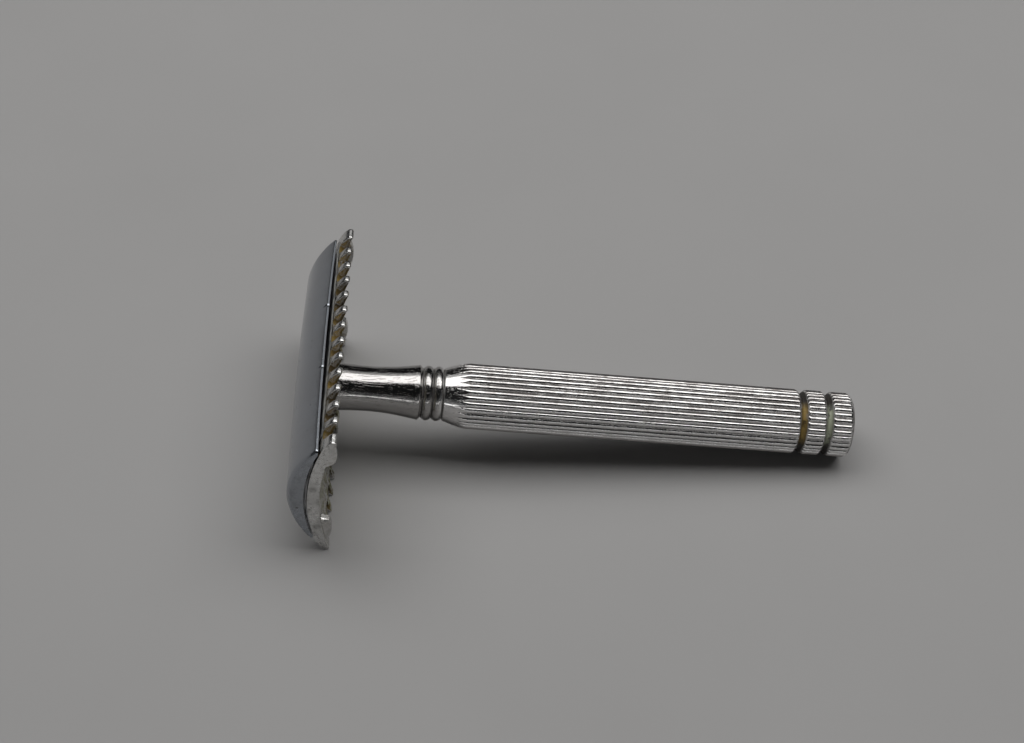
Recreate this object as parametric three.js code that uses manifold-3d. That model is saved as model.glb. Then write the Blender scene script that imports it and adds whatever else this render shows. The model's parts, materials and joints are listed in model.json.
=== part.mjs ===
// A three-piece, open-comb, double-edge safety razor, lying on its side.
//
// The razor is designed standing up and then laid down. In the standing frame Z runs
// along the handle with the cap on top, Y along the head and X across it. Z = 0 is the
// flat seat under the comb guard, where the end of the handle's neck bears.
// Sizes are in millimetres.

import * as THREE from 'three';
import { mergeVertices } from 'three/addons/utils/BufferGeometryUtils.js';
import Module from 'manifold-3d';

const wasm = await Module();
wasm.setup();

// ---- Driving dimensions --------------------------------------------------------------

// Blade
const BLADE_WIDTH = 22.0;           // measured flat, before it is bent over the guard
const BLADE_LENGTH = 42.0;
const BLADE_THICKNESS = 0.1;
const BLADE_CLEARANCE = 0.12;       // above the guard
const BLADE_REVEAL = 0.64;          // how far each ground edge shows past the cap
const BLADE_NOTCH_LENGTH = 2.4;     // cut-away at each corner, along the head
const BLADE_NOTCH_WIDTH = 4.2;
const BLADE_SLOT_WIDTH = 1.6;
const BLADE_SLOT_END = 2.2;         // how far the slot runs on past a locating pin
const BLADE_HOLE_CLEARANCE = 0.69;  // round the stud

// Head
const HEAD_OVERHANG = 0.45;         // cap and guard past each end of the blade
const HEAD_GAP_MIDDLE = 0.48;       // between guard and cap on the centre line, at the ends
const HEAD_GAP_EDGE = 0.36;         // between guard and cap at the cap's long edges, at the ends

// Cap plate
const CAP_THICKNESS = 2.5;          // on the centre line
const CAP_BOW = 0.3;                // how much higher its middle stands than its ends
const CAP_LIP = 0.35;               // height of the upright long edge
const CAP_BEVEL_WIDTH = 0.55;       // bevel between dome and lip, across the head
const CAP_BEVEL_RISE = 0.5;         // the same bevel, along the handle
const CAP_END_BEVEL_LENGTH = 0.8;   // bevel round the two arched ends, along the head
const CAP_END_BEVEL_RISE = 0.5;     // the same bevel at its highest, along the handle
const CAP_CORNER_RADIUS = 0.6;

// Comb guard
const COMB_REACH = 2.35;            // tooth tips out past the cap
const GUARD_THICKNESS = 1.73;       // on the centre line
const GUARD_TOP_RADIUS = 33.7;      // the arch the blade bends over
const GUARD_UNDER_RADIUS = 40.0;
const COMB_ROOT_INSET = 0.05;       // the teeth start bending down just inside the cap's edge
const TIP_LAND = 0.45;              // upright face of a tooth tip
const TIP_ROUND = 0.2;
const EAR_WIDTH = 1.99;             // wider tooth at each corner
const SLOT_COUNT = 13;
const SLOT_WIDTH = 1.85;
const SLOT_DEPTH = 2.05;            // from a tooth tip in to the slot's root, at the top
const SLOT_ROOT_ROUND = 0.6;
const SLOT_LEAN = THREE.MathUtils.degToRad(45);
const LOBE_WIDTH = 4.8;             // thick lobe under each corner ear, across the head
const LOBE_INSET = 1.45;            // in from the tooth tips
const LOBE_END_INSET = 0.7;         // in from the guard's end
const LOBE_DROP = 1.2;              // below the underside of the plate
const LOBE_ROUND = 0.79;            // height of its rounded bottom

// Threaded stud, pins and bush
const THREAD_PITCH = 0.79375;       // 32 threads to the inch
const THREAD_MAJOR = 4.83;
const THREAD_FORM = 0.611;          // depth of the thread over its pitch
const THREAD_CLEARANCE = 0.085;     // between stud and bush, all round
const THREAD_ENGAGED = 5.0;
const STUD_RELIEF = 0.03;           // plain waist above the thread, under its root
const STUD_HEAD_HEIGHT = 1.3;
const STUD_IN_CAP = 1.05;
const STUD_THREAD_START = 0.5;      // below the seat
const STUD_HOLE_CLEARANCE = 0.2;
const STUD_POINT = 0.8;             // tapered lead-in at the stud's end
const PIN_DIAMETER = 2.6;
const PIN_SPACING = 27.0;           // centre to centre
const PIN_IN_CAP = 0.85;
const PIN_BELOW_GUARD = 0.4;
const PIN_HOLE_CLEARANCE = 0.25;
const PRESS_CLEARANCE = 0.05;       // round pieces that are pressed or soldered together
const BUSH_WALL = 0.35;
const BUSH_RUN_OUT = 1.4;           // bush past the stud's end
const BUSH_LEDGE = 0.45;            // step in the neck that the bush sits on

// Handle
const SEAT_CLEARANCE = 0.05;        // neck end to guard seat
const SEAT_MARGIN = 0.3;            // spot-face round the neck end
const HANDLE_LENGTH = 80.55;
const NECK_WALL = 0.55;             // round the bush, at the waist
const NECK_WAIST = 6.2;             // below the seat
const NECK_END_FLARE = 0.35;        // from the waist out to the neck's end
const NECK_LIP_FLARE = 0.75;        // from the waist out to the lip
const NECK_LIP = 13.6;              // below the seat
const NECK_LIP_GROOVE = 0.6;        // from the lip down to the first bead
const BEAD_RISE = 0.45;             // beads stand as proud as the lip
const BEAD_PITCH = 1.58;
const BEAD_COUNT = 2;
const SHOULDER_LENGTH = 3.4;
const SHOULDER_STEP = 0.3;          // from the last bead's groove out to the shoulder
const GRIP_DIAMETER = 10.06;        // over the ribs
const GRIP_WALL = 0.7;              // under the vee grooves
const FLUTE_COUNT = 32;
const FLUTE_DEPTH = 0.45;
const BUTT_GROOVES = [3.85, 7.85];   // vee groove centres, up from the butt
const BUTT_GROOVE_WIDTH = 1.5;
const BUTT_GROOVE_DEPTH = 0.73;
const BUTT_CHAMFER_LENGTH = 0.7;
const BUTT_CHAMFER_DEPTH = 0.48;
const BORE_ENTRY_DEPTH = 1.45;      // from the neck end down to the bush
const PLUG_STEP = 0.35;             // ledge in the bore that the plug sits on
const PLUG_THICKNESS = 2.0;
const PLUG_CHAMFER = 0.3;

const ROUND_SEGMENTS = 48;
const THREAD_SEGMENTS = 16;
const OVERCUT = 1;                  // how far a cutter runs past what it cuts

// ---- Finishes --------------------------------------------------------------------------

const finish = (colour, roughness, metalness) => () =>
  new THREE.MeshStandardMaterial({ color: colour, roughness, metalness });
const capPlating = finish(0x9aa0a4, 0.16, 1);
const guardPlating = finish(0x8f9090, 0.3, 1);
const handlePlating = finish(0xa3a3a1, 0.22, 1);
const brass = finish(0xa88545, 0.35, 1);
const bladeSteel = finish(0x80868c, 0.25, 1);

// ---- Worked-out sizes ------------------------------------------------------------------

// How far an arc of the given radius has dropped below its crown at x.
const sag = (radius, x) => radius - Math.sqrt(radius * radius - x * x);
// The radius of the arc that drops by `drop` at x.
const arcRadius = (x, drop) => (x * x + drop * drop) / (2 * drop);

// Head: the cap covers the bent blade but for its edges, and the comb reaches past the cap.
const headHalf = BLADE_LENGTH / 2 + HEAD_OVERHANG;
const bladeUnderRadius = GUARD_TOP_RADIUS + BLADE_CLEARANCE;
const bladeTopRadius = bladeUnderRadius + BLADE_THICKNESS;
const bladeHalfAngle = BLADE_WIDTH / 2 / bladeUnderRadius;
const capHalf = bladeTopRadius * Math.sin(bladeHalfAngle) - BLADE_REVEAL;
const guardHalf = capHalf + COMB_REACH;
const slotPitch = (2 * headHalf - 2 * EAR_WIDTH - SLOT_WIDTH) / (SLOT_COUNT - 1);
const guardTop = (x) => GUARD_THICKNESS - sag(GUARD_TOP_RADIUS, x);
const guardUnder = (x) => -sag(GUARD_UNDER_RADIUS, x);
const tipFoot = guardUnder(guardHalf - TIP_ROUND) + TIP_ROUND;
const capUnderCrown = GUARD_THICKNESS + HEAD_GAP_MIDDLE;
const capUnderEdge = guardTop(capHalf) + HEAD_GAP_EDGE;
const capUnderRadius = arcRadius(capHalf, capUnderCrown - capUnderEdge);
const capUnder = (x) => capUnderCrown - sag(capUnderRadius, x);
const capRise = (y) => CAP_BOW * (1 - (y / headHalf) ** 2);
const studTop = capUnderCrown + capRise(0) + STUD_IN_CAP;
const pinTop = capUnderCrown + capRise(PIN_SPACING / 2) + PIN_IN_CAP;

// Stud, bush and neck: each goes round the one before.
const threadMinor = THREAD_MAJOR - 2 * THREAD_FORM * THREAD_PITCH;
const bushDiameter = THREAD_MAJOR + 2 * (THREAD_CLEARANCE + BUSH_WALL);
const bushLength = THREAD_ENGAGED + BUSH_RUN_OUT;
const waistRadius = bushDiameter / 2 + PRESS_CLEARANCE + NECK_WALL;
const neckEndRadius = waistRadius + NECK_END_FLARE;
const lipRadius = waistRadius + NECK_LIP_FLARE;
const beadGrooveRadius = lipRadius - BEAD_RISE;

// Heights along the handle.
const neckEnd = -SEAT_CLEARANCE;
const bushTop = neckEnd - BORE_ENTRY_DEPTH;
const studEnd = bushTop - THREAD_ENGAGED;
const beadsFoot = -NECK_LIP - NECK_LIP_GROOVE - BEAD_COUNT * BEAD_PITCH;
const shoulderFoot = beadsFoot - SHOULDER_LENGTH;
const butt = neckEnd - HANDLE_LENGTH;
const gripRadius = GRIP_DIAMETER / 2;
const gripBoreRadius = gripRadius - BUTT_GROOVE_DEPTH - GRIP_WALL;
const plugRadius = gripBoreRadius + PLUG_STEP;

// ---- Solids ----------------------------------------------------------------------------

function toSolid(geometry) {
  const bare = geometry.clone();
  bare.deleteAttribute('normal');
  bare.deleteAttribute('uv');
  const merged = mergeVertices(bare, 1e-5);
  return new wasm.Manifold(new wasm.Mesh({
    numProp: 3,
    vertProperties: new Float32Array(merged.attributes.position.array),
    triVerts: new Uint32Array(merged.index.array),
  }));
}

function toGeometry(solid) {
  const { vertProperties, triVerts } = solid.getMesh();
  const geometry = new THREE.BufferGeometry();
  geometry.setAttribute('position', new THREE.BufferAttribute(vertProperties, 3));
  geometry.setIndex(new THREE.BufferAttribute(triVerts, 1));
  geometry.computeVertexNormals();
  return geometry;
}

// An outline in X and Z, run along Y between two values of y.
function prismAlongY(points, yFrom, yTo) {
  const shape = new THREE.Shape(points.map(([x, z]) => new THREE.Vector2(x, z)));
  const geometry = new THREE.ExtrudeGeometry(shape, { depth: yTo - yFrom, bevelEnabled: false });
  geometry.rotateX(Math.PI / 2);
  geometry.translate(0, yTo, 0);
  return toSolid(geometry);
}

// A closed body through sections along Y, each an outline in X and Z with the same count
// of points, clockwise as seen from -Y.
function loftAlongY(sections) {
  const count = sections[0].points.length;
  const positions = sections.flatMap(({ y, points }) => points.flatMap(([x, z]) => [x, y, z]));
  const contour = sections[0].points.map(([x, z]) => new THREE.Vector2(x, z));
  const last = (sections.length - 1) * count;
  const triangles = [];
  for (const [a, b, c] of THREE.ShapeUtils.triangulateShape(contour, [])) {
    triangles.push(a, b, c, last + a, last + c, last + b);
  }
  for (let section = 0; section < sections.length - 1; section++) {
    for (let point = 0; point < count; point++) {
      const a = section * count + point;
      const b = section * count + ((point + 1) % count);
      triangles.push(a, b, b + count, a, b + count, a + count);
    }
  }
  return new wasm.Manifold(new wasm.Mesh({
    numProp: 3,
    vertProperties: new Float32Array(positions),
    triVerts: new Uint32Array(triangles),
  }));
}

// A shape in X and Y, run along Z between two heights.
function prismAlongZ(shape, zFrom, zTo) {
  const options = { depth: zTo - zFrom, bevelEnabled: false, curveSegments: 8 };
  const geometry = new THREE.ExtrudeGeometry(shape, options);
  geometry.translate(0, 0, zFrom);
  return toSolid(geometry);
}

// A profile of [radius, z] pairs that starts and ends on the axis, or that closes on
// itself, turned about Z. It runs upwards on its outer side.
function turned(profile, segments = ROUND_SEGMENTS) {
  const points = profile.map(([radius, z]) => new THREE.Vector2(radius, z));
  const geometry = new THREE.LatheGeometry(points, segments);
  geometry.rotateX(Math.PI / 2);
  return toSolid(geometry);
}

function rod(radius, zFrom, zTo, segments = ROUND_SEGMENTS) {
  return turned([[0, zFrom], [radius, zFrom], [radius, zTo], [0, zTo]], segments);
}

// Mirrors a half outline, given from its upper to its lower end on the centre line.
function mirrored(half) {
  const left = half.filter(([x]) => x > 0).map(([x, z]) => [-x, z]);
  return [...half, ...left.reverse()];
}

function arcPoints(height, xFrom, xTo, steps) {
  return Array.from({ length: steps + 1 }, (_, i) => {
    const x = xFrom + ((xTo - xFrom) * i) / steps;
    return [x, height(x)];
  });
}

function roundedRectangle(width, length, radius) {
  const [x, y] = [width / 2, length / 2];
  const shape = new THREE.Shape();
  shape.moveTo(-x + radius, -y);
  shape.lineTo(x - radius, -y);
  shape.absarc(x - radius, -y + radius, radius, -Math.PI / 2, 0);
  shape.lineTo(x, y - radius);
  shape.absarc(x - radius, y - radius, radius, 0, Math.PI / 2);
  shape.lineTo(-x + radius, y);
  shape.absarc(-x + radius, y - radius, radius, Math.PI / 2, Math.PI);
  shape.lineTo(-x, -y + radius);
  shape.absarc(-x + radius, -y + radius, radius, Math.PI, 1.5 * Math.PI);
  return shape;
}

// A right-handed helical ridge on a core, trimmed flat at both ends. The ridge's centre
// line has z = pitch * turns, so two threads made by this function are in step.
// `grow` makes the thread fatter all round, for the hole that another thread turns in.
function threadedRod(zFrom, zTo, grow) {
  const core = threadMinor / 2 + grow;
  const crest = THREAD_MAJOR / 2 + grow;
  const buried = core - 0.1;
  const [rootHalf, crestHalf] = [0.36 * THREAD_PITCH + grow / 2, 0.08 * THREAD_PITCH + grow];
  const section = [[buried, -rootHalf], [crest, -crestHalf], [crest, crestHalf], [buried, rootHalf]];
  const firstStep = Math.floor((zFrom / THREAD_PITCH - 1) * THREAD_SEGMENTS);
  const lastStep = Math.ceil((zTo / THREAD_PITCH + 1) * THREAD_SEGMENTS);
  const positions = [];
  const triangles = [];
  for (let step = firstStep; step <= lastStep; step++) {
    const turn = step / THREAD_SEGMENTS;
    const angle = 2 * Math.PI * turn;
    for (const [radius, rise] of section) {
      positions.push(radius * Math.cos(angle), radius * Math.sin(angle), THREAD_PITCH * turn + rise);
    }
    if (step === lastStep) break;
    const here = (step - firstStep) * 4;
    for (let side = 0; side < 4; side++) {
      const [a, b] = [here + side, here + ((side + 1) % 4)];
      triangles.push(a, b + 4, b, a, a + 4, b + 4);
    }
  }
  const end = (lastStep - firstStep) * 4;
  triangles.push(0, 1, 2, 0, 2, 3, end, end + 2, end + 1, end, end + 3, end + 2);
  const ridge = new wasm.Manifold(new wasm.Mesh({
    numProp: 3,
    vertProperties: new Float32Array(positions),
    triVerts: new Uint32Array(triangles),
  }));
  const whole = rod(core, zFrom - OVERCUT, zTo + OVERCUT, THREAD_SEGMENTS).add(ridge);
  return whole.intersect(rod(crest + OVERCUT, zFrom, zTo, THREAD_SEGMENTS));
}

// ---- Cap group -------------------------------------------------------------------------

// The plate's section at y, with its crown lowered by `drop` and its long edges kept.
function capSection(y, drop) {
  const lipTop = capUnderEdge + CAP_LIP;
  const domeEdge = capHalf - CAP_BEVEL_WIDTH;
  const crown = capUnderCrown + CAP_THICKNESS - drop;
  const domeRadius = arcRadius(domeEdge, crown - lipTop - CAP_BEVEL_RISE);
  const half = [
    ...arcPoints((x) => crown - sag(domeRadius, x), 0, domeEdge, 14),
    [capHalf, lipTop],
    ...arcPoints(capUnder, capHalf, 0, 12),
  ];
  return { y, points: mirrored(half).map(([x, z]) => [x, z + capRise(y)]) };
}

function capPlate() {
  const flatHalf = headHalf - CAP_END_BEVEL_LENGTH;
  const inner = Array.from({ length: 9 }, (_, i) => capSection(flatHalf * (i / 4 - 1), 0));
  const top = capUnderCrown + CAP_THICKNESS + CAP_BOW;
  const outline = roundedRectangle(2 * capHalf, 2 * headHalf, CAP_CORNER_RADIUS);
  const ends = [-headHalf, headHalf].map((y) => capSection(y, CAP_END_BEVEL_RISE));
  let plate = loftAlongY([ends[0], ...inner, ends[1]])
    .intersect(prismAlongZ(outline, -OVERCUT, top + OVERCUT));
  const studHole = THREAD_MAJOR / 2 + PRESS_CLEARANCE;
  plate = plate.subtract(rod(studHole, 0, studTop + PRESS_CLEARANCE));
  for (const y of [-PIN_SPACING / 2, PIN_SPACING / 2]) {
    const hole = rod(PIN_DIAMETER / 2 + PRESS_CLEARANCE, 0, pinTop + PRESS_CLEARANCE);
    plate = plate.subtract(hole.translate([0, y, 0]));
  }
  return plate;
}

function threadedStud() {
  const headFoot = studTop - STUD_HEAD_HEIGHT;
  const waist = threadMinor / 2 - STUD_RELIEF;
  const crest = THREAD_MAJOR / 2;
  const threadTop = -STUD_THREAD_START;
  const shank = turned([
    [0, threadTop - OVERCUT], [waist, threadTop - OVERCUT], [waist, headFoot],
    [crest, headFoot], [crest, studTop], [0, studTop],
  ], THREAD_SEGMENTS);
  const past = crest + 0.2;
  const tapered = turned([
    [0, studEnd], [threadMinor / 2 - 0.2, studEnd], [past, studEnd + STUD_POINT],
    [past, threadTop], [0, threadTop],
  ], THREAD_SEGMENTS);
  return threadedRod(studEnd, threadTop, 0).intersect(tapered).add(shank);
}

function locatingPin(y) {
  const radius = PIN_DIAMETER / 2;
  const foot = -PIN_BELOW_GUARD;
  const pin = turned([
    [0, foot], [radius - 0.45, foot], [radius - 0.12, foot + 0.15], [radius, foot + 0.5],
    [radius, pinTop], [0, pinTop],
  ], 24);
  return pin.translate([0, y, 0]);
}

// ---- Blade -----------------------------------------------------------------------------

function blade() {
  const centre = GUARD_THICKNESS - GUARD_TOP_RADIUS;
  const steps = 16;
  const arc = (radius, from, to) => Array.from({ length: steps + 1 }, (_, i) => {
    const angle = from + ((to - from) * i) / steps;
    return [radius * Math.sin(angle), centre + radius * Math.cos(angle)];
  });
  const section = [
    ...arc(bladeTopRadius, -bladeHalfAngle, bladeHalfAngle),
    ...arc(bladeUnderRadius, bladeHalfAngle, -bladeHalfAngle),
  ];
  const bent = prismAlongY(section.reverse(), -BLADE_LENGTH / 2, BLADE_LENGTH / 2);

  const [x, y] = [BLADE_WIDTH / 2 + OVERCUT, BLADE_LENGTH / 2 + OVERCUT];
  const notchX = BLADE_WIDTH / 2 - BLADE_NOTCH_WIDTH;
  const notchY = BLADE_LENGTH / 2 - BLADE_NOTCH_LENGTH;
  const outline = new THREE.Shape([
    [-notchX, -y], [notchX, -y], [notchX, -notchY], [x, -notchY], [x, notchY], [notchX, notchY],
    [notchX, y], [-notchX, y], [-notchX, notchY], [-x, notchY], [-x, -notchY], [-notchX, -notchY],
  ].map(([u, v]) => new THREE.Vector2(u, v)));
  const [low, high] = [-OVERCUT, capUnderCrown + OVERCUT];
  const slotHalf = PIN_SPACING / 2 + BLADE_SLOT_END;
  const slot = prismAlongZ(roundedRectangle(BLADE_SLOT_WIDTH, 2 * slotHalf, BLADE_SLOT_WIDTH / 2.2), low, high);
  let opening = slot.add(rod(THREAD_MAJOR / 2 + BLADE_HOLE_CLEARANCE, low, high, 24));
  for (const pinY of [-PIN_SPACING / 2, PIN_SPACING / 2]) {
    opening = opening.add(rod(PIN_DIAMETER / 2 + PIN_HOLE_CLEARANCE, low, high, 24).translate([0, pinY, 0]));
  }
  return bent.intersect(prismAlongZ(outline, low, high)).subtract(opening);
}

// ---- Comb guard ------------------------------------------------------------------------

function guardHalfOutline() {
  const rootX = capHalf - COMB_ROOT_INSET;
  const landTop = tipFoot + TIP_LAND;
  const root = new THREE.Vector2(rootX, guardTop(rootX));
  const bend = new THREE.Vector2(
    THREE.MathUtils.lerp(rootX, guardHalf, 0.73), THREE.MathUtils.lerp(root.y, landTop, 0.37),
  );
  const slope = new THREE.QuadraticBezierCurve(root, bend, new THREE.Vector2(guardHalf, landTop));
  return [
    ...arcPoints(guardTop, 0, rootX, 12).slice(0, -1),
    ...slope.getPoints(6).map(({ x, y }) => [x, y]),
    [guardHalf, tipFoot],
    [guardHalf - 0.29 * TIP_ROUND, tipFoot - 0.71 * TIP_ROUND],
    ...arcPoints(guardUnder, guardHalf - TIP_ROUND, 0, 14),
  ];
}

// The rounded lobe that thickens the guard under one corner ear, on the side where x and y
// are positive.
function cornerLobe() {
  const half = LOBE_WIDTH / 2;
  const centre = guardHalf - LOBE_INSET - half;
  const foot = guardUnder(centre) - LOBE_DROP;
  const shoulder = foot + LOBE_ROUND;
  const inside = 0.4;
  const bottom = Array.from({ length: 9 }, (_, i) => {
    const angle = (Math.PI * i) / 8;
    return [centre - half * Math.cos(angle), shoulder - LOBE_ROUND * Math.sin(angle)];
  });
  const outline = [
    ...bottom,
    [centre + half, guardUnder(centre + half) + inside],
    [centre, guardUnder(centre) + inside],
    [centre - half, guardUnder(centre - half) + inside],
  ];
  return prismAlongY(outline, headHalf - EAR_WIDTH, headHalf - LOBE_END_INSET);
}

function combSlot(y) {
  const outward = guardHalf + 2 * OVERCUT;
  const half = SLOT_WIDTH / 2;
  const shape = new THREE.Shape();
  shape.moveTo(outward, -half);
  shape.lineTo(outward, half);
  shape.lineTo(SLOT_ROOT_ROUND, half);
  shape.absarc(SLOT_ROOT_ROUND, half - SLOT_ROOT_ROUND, SLOT_ROOT_ROUND, Math.PI / 2, Math.PI);
  shape.lineTo(0, -half + SLOT_ROOT_ROUND);
  shape.absarc(SLOT_ROOT_ROUND, -half + SLOT_ROOT_ROUND, SLOT_ROOT_ROUND, Math.PI, 1.5 * Math.PI);
  const reach = 1.6 * (GUARD_THICKNESS + LOBE_DROP);
  const options = { depth: reach + 2 * OVERCUT, bevelEnabled: false, curveSegments: 3 };
  const geometry = new THREE.ExtrudeGeometry(shape, options);
  geometry.translate(0, 0, -reach);
  // The slot is cut square to the sloping outer face of the teeth.
  const depthwise = new THREE.Vector3(Math.cos(SLOT_LEAN), 0, -Math.sin(SLOT_LEAN));
  const lengthwise = new THREE.Vector3(0, 1, 0);
  const upwards = new THREE.Vector3().crossVectors(depthwise, lengthwise);
  const rootX = guardHalf - SLOT_DEPTH;
  geometry.applyMatrix4(new THREE.Matrix4().makeBasis(depthwise, lengthwise, upwards));
  geometry.translate(rootX, y, guardTop(rootX));
  return toSolid(geometry);
}

function combGuard() {
  let guard = prismAlongY(mirrored(guardHalfOutline()), -headHalf, headHalf);
  const lobe = cornerLobe();
  const otherLobe = lobe.mirror([0, 1, 0]);
  for (const turn of [0, 180]) {
    guard = guard.add(lobe.rotate([0, 0, turn])).add(otherLobe.rotate([0, 0, turn]));
  }

  for (let i = 0; i < SLOT_COUNT; i++) {
    const slot = combSlot((i - (SLOT_COUNT - 1) / 2) * slotPitch);
    guard = guard.subtract(slot).subtract(slot.rotate([0, 0, 180]));
  }

  const top = GUARD_THICKNESS + OVERCUT;
  guard = guard.subtract(rod(THREAD_MAJOR / 2 + STUD_HOLE_CLEARANCE, -OVERCUT, top));
  guard = guard.subtract(rod(neckEndRadius + SEAT_MARGIN, -OVERCUT, 0));
  for (const y of [-PIN_SPACING / 2, PIN_SPACING / 2]) {
    const hole = rod(PIN_DIAMETER / 2 + PIN_HOLE_CLEARANCE, -OVERCUT, top, 24);
    guard = guard.subtract(hole.translate([0, y, 0]));
  }
  return guard;
}

// ---- Handle group ----------------------------------------------------------------------

// The fluted bar: round-backed ribs with a vee between them. A rib points along -X, so
// the laid-down handle rests on a rib.
function flutedBar(zFrom, zTo) {
  const shape = new THREE.Shape();
  const pitchAngle = (2 * Math.PI) / FLUTE_COUNT;
  const corners = [[-0.5, gripRadius - FLUTE_DEPTH], [-0.2, gripRadius], [0.2, gripRadius]];
  for (let rib = 0; rib < FLUTE_COUNT; rib++) {
    for (const [share, radius] of corners) {
      const angle = (rib + share) * pitchAngle;
      const [x, y] = [radius * Math.cos(angle), radius * Math.sin(angle)];
      if (rib === 0 && share === -0.5) shape.moveTo(x, y);
      else shape.lineTo(x, y);
    }
  }
  return prismAlongZ(shape, zFrom, zTo);
}

// Outer profile of the turned handle from the butt up to the neck's end. Over the grip it
// stands clear of the ribs, which give the grip its surface.
function handleOutline() {
  const clear = gripRadius + 0.4;
  const chamferRim = gripRadius - BUTT_CHAMFER_DEPTH;
  const chamferSlope = BUTT_CHAMFER_LENGTH / BUTT_CHAMFER_DEPTH;
  const outline = [
    [chamferRim, butt],
    [clear, butt + chamferSlope * (clear - chamferRim)],
  ];
  const floor = gripRadius - BUTT_GROOVE_DEPTH;
  const grooveSlope = BUTT_GROOVE_WIDTH / 2 / (gripRadius - floor);
  for (const rise of BUTT_GROOVES) {
    const reach = grooveSlope * (clear - floor);
    outline.push([clear, butt + rise - reach], [floor, butt + rise], [clear, butt + rise + reach]);
  }
  const shoulderTop = beadGrooveRadius + SHOULDER_STEP;
  const shoulderSlope = (gripRadius - shoulderTop) / SHOULDER_LENGTH;
  outline.push([clear, shoulderFoot - (clear - gripRadius) / shoulderSlope]);
  outline.push([shoulderTop, beadsFoot - 0.15], [beadGrooveRadius, beadsFoot]);
  for (let bead = BEAD_COUNT - 1; bead >= 0; bead--) {
    const foot = beadsFoot + (BEAD_COUNT - 1 - bead) * BEAD_PITCH;
    for (const step of [1, 2, 3, 4, 5]) {
      const turn = (Math.PI * step) / 6;
      outline.push([beadGrooveRadius + BEAD_RISE * Math.sin(turn), foot + (BEAD_PITCH * step) / 6]);
    }
    outline.push([beadGrooveRadius, foot + BEAD_PITCH]);
  }
  outline.push([lipRadius - 0.1, -NECK_LIP - 0.25], [lipRadius, -NECK_LIP + 0.1]);
  // The neck flares from its waist down to the lip and, more gently, up to its end.
  const flare = (from, to, share) => from + (to - from) * share ** 1.8;
  for (const share of [0.85, 0.7, 0.55, 0.4, 0.25, 0.1]) {
    const z = THREE.MathUtils.lerp(-NECK_WAIST, -NECK_LIP, share);
    outline.push([flare(waistRadius, lipRadius, share), z]);
  }
  for (const share of [0, 0.25, 0.5, 0.75, 1]) {
    const z = THREE.MathUtils.lerp(-NECK_WAIST, neckEnd, share);
    outline.push([flare(waistRadius, neckEndRadius, share), z]);
  }
  return outline;
}

function handleBody() {
  const bushSeat = bushTop - bushLength - PRESS_CLEARANCE;
  const plugSeat = butt + PLUG_THICKNESS + PRESS_CLEARANCE;
  const plugBore = plugRadius + PRESS_CLEARANCE;
  const bushBore = bushDiameter / 2 + PRESS_CLEARANCE;
  const neckBore = bushDiameter / 2 - BUSH_LEDGE;
  const outer = turned([[0, butt], ...handleOutline(), [0, neckEnd]]);
  const bore = turned([
    [0, butt - OVERCUT], [plugBore, butt - OVERCUT], [plugBore, plugSeat], [gripBoreRadius, plugSeat],
    [gripBoreRadius, shoulderFoot - (gripBoreRadius - neckBore)], [neckBore, shoulderFoot],
    [neckBore, bushSeat], [bushBore, bushSeat], [bushBore, OVERCUT], [0, OVERCUT],
  ]);
  return outer.intersect(flutedBar(butt - OVERCUT, OVERCUT)).subtract(bore);
}

function threadBush() {
  const foot = bushTop - bushLength;
  const hole = threadedRod(foot - OVERCUT, bushTop + OVERCUT, THREAD_CLEARANCE);
  return rod(bushDiameter / 2, foot, bushTop).subtract(hole);
}

function buttPlug() {
  return turned([
    [0, butt], [plugRadius - PLUG_CHAMFER / 2, butt], [plugRadius, butt + PLUG_CHAMFER / 2],
    [plugRadius, butt + PLUG_THICKNESS - PLUG_CHAMFER],
    [plugRadius - PLUG_CHAMFER, butt + PLUG_THICKNESS], [0, butt + PLUG_THICKNESS],
  ]);
}

// ---- Assembly --------------------------------------------------------------------------

const razor = new THREE.Group();

function addPiece(name, solid, material) {
  const mesh = new THREE.Mesh(toGeometry(solid), material());
  mesh.name = name;
  razor.add(mesh);
}

addPiece('cap', capPlate(), capPlating);
addPiece('stud', threadedStud(), brass);
addPiece('locating_pin_near', locatingPin(-PIN_SPACING / 2), brass);
addPiece('locating_pin_far', locatingPin(PIN_SPACING / 2), brass);
addPiece('blade', blade(), bladeSteel);
addPiece('comb_guard', combGuard(), guardPlating);
addPiece('handle', handleBody(), handlePlating);
addPiece('thread_bush', threadBush(), brass);
addPiece('butt_plug', buttPlug(), handlePlating);

// The razor lies on the tips of its lower comb and on the edge of its butt, with the
// handle running down towards +X.
const combFoot = { across: guardHalf, along: tipFoot };
const buttFoot = { across: gripRadius, along: butt + BUTT_CHAMFER_LENGTH };
const tilt = Math.atan2(combFoot.across - buttFoot.across, combFoot.along - buttFoot.along);
razor.rotation.y = tilt - Math.PI / 2;

// The origin is under the middle of the razor, on the surface that it lies on.
const laid = new THREE.Group();
laid.add(razor);
const box = new THREE.Box3().setFromObject(laid, true);
razor.position.set(-(box.min.x + box.max.x) / 2, -(box.min.y + box.max.y) / 2, -box.min.z);

export default laid;
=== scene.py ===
"""A worn, plated, open-comb safety razor, built round its CAD frame.

The razor is worked out standing up and then laid down. In the standing frame X runs across
the head, Y along it and Z up the handle to the cap, and Z = 0 is the seat that the neck of
the handle bears on. Lengths are in metres.
"""

import json
import math

import bmesh
import bpy
import numpy as np
from bpy.props import (FloatProperty, FloatVectorProperty, IntProperty, PointerProperty)
from mathutils import Matrix, Vector


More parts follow.
